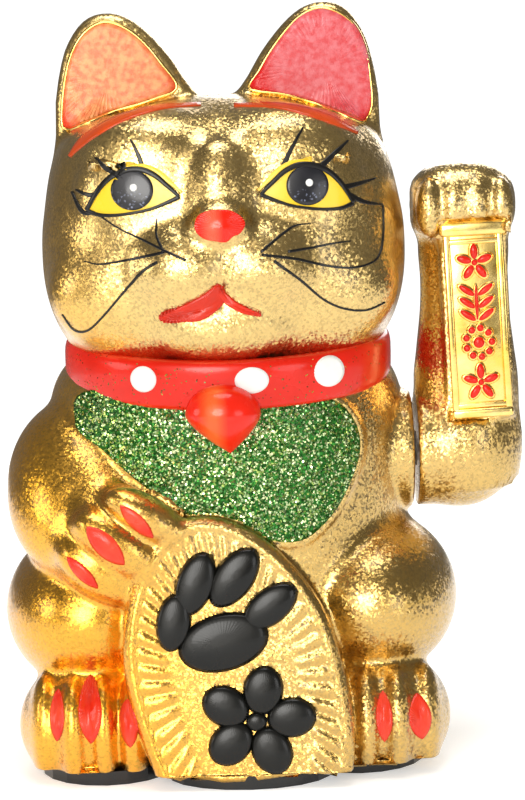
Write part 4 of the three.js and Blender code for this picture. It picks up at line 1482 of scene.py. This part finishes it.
class CAT_OT_eyes(bpy.types.Operator):
    """Paints the eyes, their lids and the lashes"""

    bl_idname = "beckoning_cat.eyes"
    bl_label = "Eyes"

    def execute(self, context):
        clear_selection()
        on = skin()
        whites, irises, glints, lines, lids = [], [], [], [], []
        iris_x, iris_z = IRIS
        for side in (-1, 1):
            lens = mirror(UPPER_LID + LOWER_LID[-2:0:-1], side)
            middle = (side * 31, 212.5)
            whites.append(film(lens, on, 0.9, count=96, cuts=12, centre=middle, sunk=0.8, even=2))
            iris = oval(side * iris_x, iris_z, 7.4, 6.9)
            irises.append(film(iris, on, 1.15, dome=0.3, cuts=8, sunk=0.4, even=2))
            glint = oval(side * iris_x + 0.6, iris_z + 0.9, 1.3, 1.3)
            glints.append(film(glint, on, 1.55, dome=0.2, count=16, cuts=2))
            upper, lower = mirror(UPPER_LID, side), mirror(LOWER_LID, side)
            lines.append(stroke(upper, (1.2, 1.9, 2.0, 1.5), on, 1.3, dome=0.2, sunk=1.0))
            lines.append(stroke(lower, (1.5, 1.0, 1.1, 1.7), on, 1.25, dome=0.15, sunk=1.0))
            ridge = mirror([(x - 0.7, z + 1.4) for x, z in UPPER_LID[:-3]], side)
            lids.append(stroke(ridge, (0.8, 2.2, 1.6, 0.4), on, 1.0, dome=0.3, sunk=0.9))
        lines += [stroke(lash, (2.1, 1.5, 0.6), on, 0.45) for lash in LASHES]
        yellow = banded("eye_yellow", (0.95, 0.62, 0.03), (1.0, 0.86, 0.25), 0, 26)
        black = paint("line_black", (0.012, 0.011, 0.010), rough=(0.2, 0.4))
        finish_piece(whites, "eye_whites", yellow)
        finish_piece(irises, "irises", iris_black())
        finish_piece(glints, "eye_glints", finish_named("spot_white"))
        finish_piece(lines, "eye_lines", black)
        finish_piece(lids, "eyelids", yellow)
        return {"FINISHED"}


class CAT_OT_muzzle(bpy.types.Operator):
    """Paints the nose, the mouth and the whiskers"""

    bl_idname = "beckoning_cat.muzzle"
    bl_label = "Nose, mouth and whiskers"

    def execute(self, context):
        red = tuple(context.scene.cat_colours.red)
        clear_selection()
        on = skin()
        nose = film(NOSE, on, 0.5, dome=0.5, count=48, cuts=6, centre=(0, 201), even=40)
        # The paler stripe near X = -3.2 is a painted highlight.
        enamel = banded("nose_red", red, (0.80, 0.10, 0.045), -3.2, 4)
        finish_piece(nose, "nose", enamel)
        lips = [
            film(LEFT_LIP, on, 0.8, dome=0.35, count=48, cuts=5, centre=(-7, 171.6), even=30),
            film(RIGHT_LIP, on, 0.85, dome=0.35, count=48, cuts=5, centre=(2.6, 173.2), even=30),
        ]
        orange = paint("lip_red", (0.74, 0.03, 0.008), dark=0.7)
        finish_piece(lips, "mouth", orange)
        hairs = [stroke(on_leaning_face(line), (1.0, 0.85, 0.7, 0.4), on, 0.3) for line in WHISKERS]
        finish_piece(hairs, "whiskers", finish_named("line_black"))
        return {"FINISHED"}


# ---------------------------------------------------------------- claws and coin
# Each claw: X, Z, length, width and the angle of its long axis from +X.
CLAWS = [
    (-32.8, 97.3, 16.6, 5.4, -47), (-44.1, 89.1, 19, 7.9, -47), (-52.8, 79, 15.7, 4.8, -47),
    (-64.1, 25.8, 17.5, 5.7, 88), (-52.1, 27.8, 23, 8.7, 90), (-38.2, 23.6, 17, 7, 92),
    (53.4, 22.5, 18, 6.2, 90), (66.5, 21.4, 16.6, 8.4, 95),
]
COIN_PAW = [
    almond(-21, 60.5, 21, 12.5, 80, 0.9), almond(-13, 74, 24, 13.5, 68, 0.9),
    almond(1, 76, 25, 14, 52, 0.9), almond(13.5, 65.5, 23, 13, 36, 0.9),
    oval(-3.5, 53, 16.5, 10.3, 14),
]
BLOSSOM_AT = (7.5, 24.5)
COIN_BLOSSOM = [
    oval(BLOSSOM_AT[0] + x, BLOSSOM_AT[1] + z, 8.8, 7.2, angle)
    for x, z, angle in round_places(5, 78, 12.6, 11.4)
]


class CAT_OT_marks(bpy.types.Operator):
    """Paints the claws and raises the black ornaments on the coin"""

    bl_idname = "beckoning_cat.marks"
    bl_label = "Claws and coin ornaments"

    def execute(self, context):
        red = tuple(context.scene.cat_colours.red)
        clear_selection()
        on = skin()
        claws = [film(almond(*claw), on, 0.3, dome=0.7, count=40, cuts=4) for claw in CLAWS]
        finish_piece(claws, "claws", claw_enamel("claw_red", red))
        raised = [
            film(mark, coin_face, 1.0, dome=2.4, count=48, cuts=6, sunk=1.5)
            for mark in (*COIN_PAW, *COIN_BLOSSOM)
        ]
        heart = oval(*BLOSSOM_AT, 3.8, 3.4, 12)
        raised.append(film(heart, coin_face, 1, dome=1.6, count=32, cuts=4, sunk=1.5))
        black = paint("coin_black", (0.006, 0.006, 0.005), rough=(0.22, 0.38), bump=0.3)
        finish_piece(raised, "coin_ornaments", black)
        return {"FINISHED"}


# ---------------------------------------------------------------- plaque
def slab(low, high, bevel=0.5):
    """A block with softened edges, in the plaque's own frame."""
    obj, corners = new_shape("cube", size=1)
    low, high = np.array(low, float), np.array(high, float)
    place_points(obj, corners * (high - low) + (low + high) / 2)
    edit(obj, select_all, lambda: bpy.ops.mesh.bevel(offset=bevel * MM, segments=3, affect="EDGES"))
    return obj


def lozenge(x, z, length, width, angle, front, height):
    """A raised stroke on the plaque: a flattened, turned ball."""
    return add_ball((x, front, z), (length / 2, height, width / 2), (0, -angle, 0), 20, 12)


def ornament(kind, z):
    """Strokes of one ornament: each is x, z, length, width and angle."""
    if kind == "blossom":
        petals = [(x, z + up, 6.2, 3.2, a) for x, up, a in round_places(5, 90, 3.9, 4.1)]
        return [*petals, (0, z, 2.6, 2.6, 0)]
    if kind == "leaves":
        leaves = [(s * 3.4, z + up, 7.4, 2.7, s * 35) for s in (-1, 1) for up in (4.6, 0, -4.6)]
        return [*leaves, (0, z, 13.5, 1.7, 90)]
    ring = [(x, z + up, 3.0, 3.0, 0) for x, up, _ in round_places(9, 0, 4.8, 5.4)]
    return [*ring, (0, z, 4.6, 4.6, 0)]


ORNAMENTS = [("blossom", 21), ("leaves", 6.2), ("beads", -8.6), ("blossom", -23.4)]


class CAT_OT_plaque(bpy.types.Operator):
    """Sets the bright plaque with its red ornaments into the arm"""

    bl_idname = "beckoning_cat.plaque"
    bl_label = "Plaque"

    def execute(self, context):
        clear_selection()
        wide, tall, front, back = 11, 36.5, PLAQUE_FRONT, PLAQUE_FRONT + 2.2
        face = front + 0.9
        rail, cap = 9.8, back - 0.2
        blocks = [
            ((-wide, face, -tall), (wide, back, tall), 0.4),
            ((-rail - 1.3, front - 0.5, -tall + 2), (-rail + 1.3, back, tall - 4), 0.7),
            ((rail - 1.3, front - 0.5, -tall + 2), (rail + 1.3, back, tall - 4), 0.7),
            ((-wide + 0.6, front - 0.3, -tall + 3.6), (wide - 0.6, back, -tall + 5.6), 0.6),
            ((-wide + 0.6, front - 0.3, tall - 8.6), (wide - 0.6, back, tall - 6.6), 0.6),
            ((-12.4, front - 1.6, tall - 5.6), (12.4, cap, tall), 1.6),
            ((-11.4, front - 1.2, -tall), (11.4, cap, -tall + 3.6), 1.2),
        ]
        gold = finish_named("polished_gold")
        plate = self.place("plaque", [slab(*each) for each in blocks])
        finish_piece(plate, "plaque", gold, "waving_arm", ["arm_plaque"])
        pick(plate)
        bpy.ops.object.shade_smooth_by_angle(angle=math.radians(40))
        strokes = [line for kind, z in ORNAMENTS for line in ornament(kind, z)]
        for name, border, height, finish, slot in (
            ("plaque_ornaments", 0, 1.5, finish_named("collar_red"), "red_paint"),
            ("plaque_ornament_edges", 1.2, 0.9, gold, "bright_gold"),
        ):
            made = self.place(name, [
                lozenge(x, z, length + border, width + border, angle, face, height)
                for x, z, length, width, angle in strokes
            ])
            finish_piece(made, name, finish, "waving_arm")
        return {"FINISHED"}

    def place(self, name, parts):
        """Joins parts made in the plaque's own frame and sets them in the arm."""
        obj = join_as(name, parts)
        turn = np.array(turned_about_y(PLAQUE_TILT))
        place_points(obj, points_of(obj) @ turn.T + np.array(PLAQUE_AT))
        return obj


# ---------------------------------------------------------------- the working parts
def finishes_by_node():
    """Each finish with the starts of the names of its nodes."""
    return {
        metal("steel", (0.62, 0.63, 0.65), 0.3): (
            "contact_", "switch_can", "shaft_collar_", "arm_shaft", "counterweight", "base_screw_",
            "frame_screw_", "board_screw_",
        ),
        metal("brass", (0.78, 0.56, 0.22), 0.28, (30, 1, 1)): ("bearing_bush_",),
        metal("copper_wire", (0.80, 0.32, 0.14), 0.3, (1, 1, 14), 260): ("coil_winding",),
        plastic("black_plastic", (0.010, 0.010, 0.010), (0.12, 0.3)): (
            "base_plate", "battery_cover", "switch_slider",
        ),
        plastic("grey_plastic", (0.68, 0.68, 0.65), (0.4, 0.55)): (
            "pivot_frame", "pendulum_lever", "coil_bobbin", "arm_hub",
        ),
        plastic("ferrite", (0.05, 0.05, 0.055), (0.5, 0.7), 0.5): ("pendulum_magnet",),
        plastic("board_green", (0.03, 0.20, 0.07), (0.25, 0.4)): ("drive_board",),
        plastic("cell_sleeve", (0.06, 0.18, 0.45), (0.15, 0.3)): ("battery_1", "battery_2"),
        plastic("red_sleeve", (0.55, 0.03, 0.02)): ("lead_red",),
        plastic("black_sleeve", (0.02, 0.02, 0.02)): (
            "lead_black", "lead_switch", "transistor", "capacitor",
        ),
    }


class CAT_OT_workings(bpy.types.Operator):
    """Gives the base, the drive and the fasteners their finishes"""

    bl_idname = "beckoning_cat.workings"
    bl_label = "Base and workings"

    def execute(self, context):
        for finish, starts in finishes_by_node().items():
            for name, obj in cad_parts.items():
                if name.startswith(starts):
                    obj.data.materials.clear()
                    obj.data.materials.append(finish)
        return {"FINISHED"}


# ---------------------------------------------------------------- stage
CAMERA = {"at": (0, -950, 240), "yaw": 0.83, "pitch": 6.49, "roll": 1.6, "lens": 113.9}
LOOKED_AT = (0, 0, 130)
# Each lamp: its name, place, diameter, power in watts and colour.
LAMPS = [
    ("key", (-300, -1200, 430), 600, 7.5, (1.0, 0.99, 0.96)),
    ("side", (-1000, -250, 300), 420, 1.6, (1.0, 0.96, 0.88)),
    ("fill", (720, -900, 220), 460, 1.6, (1.0, 1.0, 1.0)),
    ("top", (0, -100, 1100), 600, 4.5, (1.0, 1.0, 1.0)),
    ("back", (300, 1100, 600), 700, 4, (1.0, 0.98, 0.95)),
]
SCREEN_WAY = (-0.30, -0.90, 0.26)


class CAT_OT_stage(bpy.types.Operator):
    """Adds the floor, the lights and the camera"""

    bl_idname = "beckoning_cat.stage"
    bl_label = "Stage"

    def execute(self, context):
        clear_selection()
        floor, _ = new_shape("circle", vertices=96, radius=1.0, fill_type="NGON")
        floor.name = "floor"
        pale = (0.86, 0.86, 0.85)
        finish = material("floor_paper", pale, 0.8, specular=0.1)
        shader = finish[2]
        shader.inputs["Emission Color"].default_value = (1, 1, 0.99, 1)
        shader.inputs["Emission Strength"].default_value = 0.45
        paper = uneven(finish, pale, (0.83, 0.83, 0.82), (0.75, 0.9), 0.1, 3, 200)
        floor.data.materials.append(paper)
        self.lights(context)
        self.camera(context)
        return {"FINISHED"}

    def lights(self, context):
        for name, at, size, power, colour in LAMPS:
            bpy.ops.object.light_add(type="AREA", location=Vector(at) * MM)
            lamp = bpy.context.active_object
            lamp.name = name
            lamp.data.shape = "DISK"
            lamp.data.size = size * MM
            lamp.data.energy = power
            lamp.data.color = colour
            away = lamp.location - Vector(LOOKED_AT) * MM
            lamp.rotation_euler = away.to_track_quat("Z", "Y").to_euler()
        self.world(context)

    def world(self, context):
        """White paper behind, a dimmer room for dull surfaces, and a screen for their gloss."""
        world = context.scene.world or bpy.data.worlds.new("World")
        context.scene.world = world
        world.use_nodes = True
        tree = world.node_tree
        tree.nodes.clear()
        link = tree.links.new
        path = tree.nodes.new("ShaderNodeLightPath")
        dull, glossy, behind = (
            node(tree, "ShaderNodeBackground", strength=strength) for strength in (0.45, 1, 1.15)
        )
        dull.inputs["Color"].default_value = (1.0, 0.99, 0.97, 1)
        glossy.inputs["Color"].default_value = (1.0, 0.95, 0.86, 1)
        behind.inputs["Color"].default_value = (1, 1, 1, 1)
        link(self.room(tree), glossy.inputs["Strength"])
        sky = dull.outputs["Background"]
        for ray, paper in (("Is Glossy Ray", glossy), ("Is Camera Ray", behind)):
            choice = tree.nodes.new("ShaderNodeMixShader")
            link(path.outputs[ray], choice.inputs["Fac"])
            link(sky, choice.inputs[1])
            link(paper.outputs["Background"], choice.inputs[2])
            sky = choice.outputs["Shader"]
        link(sky, tree.nodes.new("ShaderNodeOutputWorld").inputs["Surface"])

    def room(self, tree):
        """How bright the room is each way: dim, with one wide pale screen in front."""
        way = tree.nodes.new("ShaderNodeTexCoord").outputs["Generated"]
        toward = vector_math(tree, "DOT_PRODUCT", way, Vector(SCREEN_WAY).normalized())
        screen = spread(tree, toward.outputs["Value"], 0.80, 0.98, 0.17, 2.35)
        screen.node.interpolation_type = "SMOOTHSTEP"
        return screen

    def camera(self, context):
        bpy.ops.object.camera_add(location=Vector(CAMERA["at"]) * MM)
        camera = bpy.context.active_object
        turn = (
            Matrix.Rotation(math.radians(-CAMERA["yaw"]), 3, "Z")
            @ Matrix.Rotation(math.radians(90 - CAMERA["pitch"]), 3, "X")
            @ Matrix.Rotation(math.radians(-CAMERA["roll"]), 3, "Z")
        )
        camera.rotation_euler = turn.to_euler()
        camera.data.lens = CAMERA["lens"]
        camera.data.sensor_width = 36
        context.scene.camera = camera
        context.scene.view_settings.view_transform = "Standard"


class CAT_PT_panel(bpy.types.Panel):
    """Lists the steps that build the cat"""

    bl_idname = "CAT_PT_panel"
    bl_label = "Beckoning Cat"
    bl_space_type = "VIEW_3D"
    bl_region_type = "UI"
    bl_category = "Beckoning Cat"

    def draw(self, context):
        for step in STEPS:
            self.layout.operator(step.bl_idname)


STEPS = [
    CAT_OT_shells, CAT_OT_arm, CAT_OT_collar, CAT_OT_bib, CAT_OT_ears, CAT_OT_eyes, CAT_OT_muzzle,
    CAT_OT_marks, CAT_OT_plaque, CAT_OT_workings, CAT_OT_stage,
]
CLASSES = [CatSizes, CatColours, *STEPS, CAT_PT_panel]


def register():
    for item in CLASSES:
        bpy.utils.register_class(item)
    bpy.types.Scene.cat_sizes = PointerProperty(type=CatSizes)
    bpy.types.Scene.cat_colours = PointerProperty(type=CatColours)


def unregister():
    del bpy.types.Scene.cat_colours
    del bpy.types.Scene.cat_sizes
    for item in reversed(CLASSES):
        bpy.utils.unregister_class(item)


def main():
    register()
    for step in STEPS:
        group, name = step.bl_idname.split(".")
        getattr(getattr(bpy.ops, group), name)()


if __name__ == "__main__":
    main()
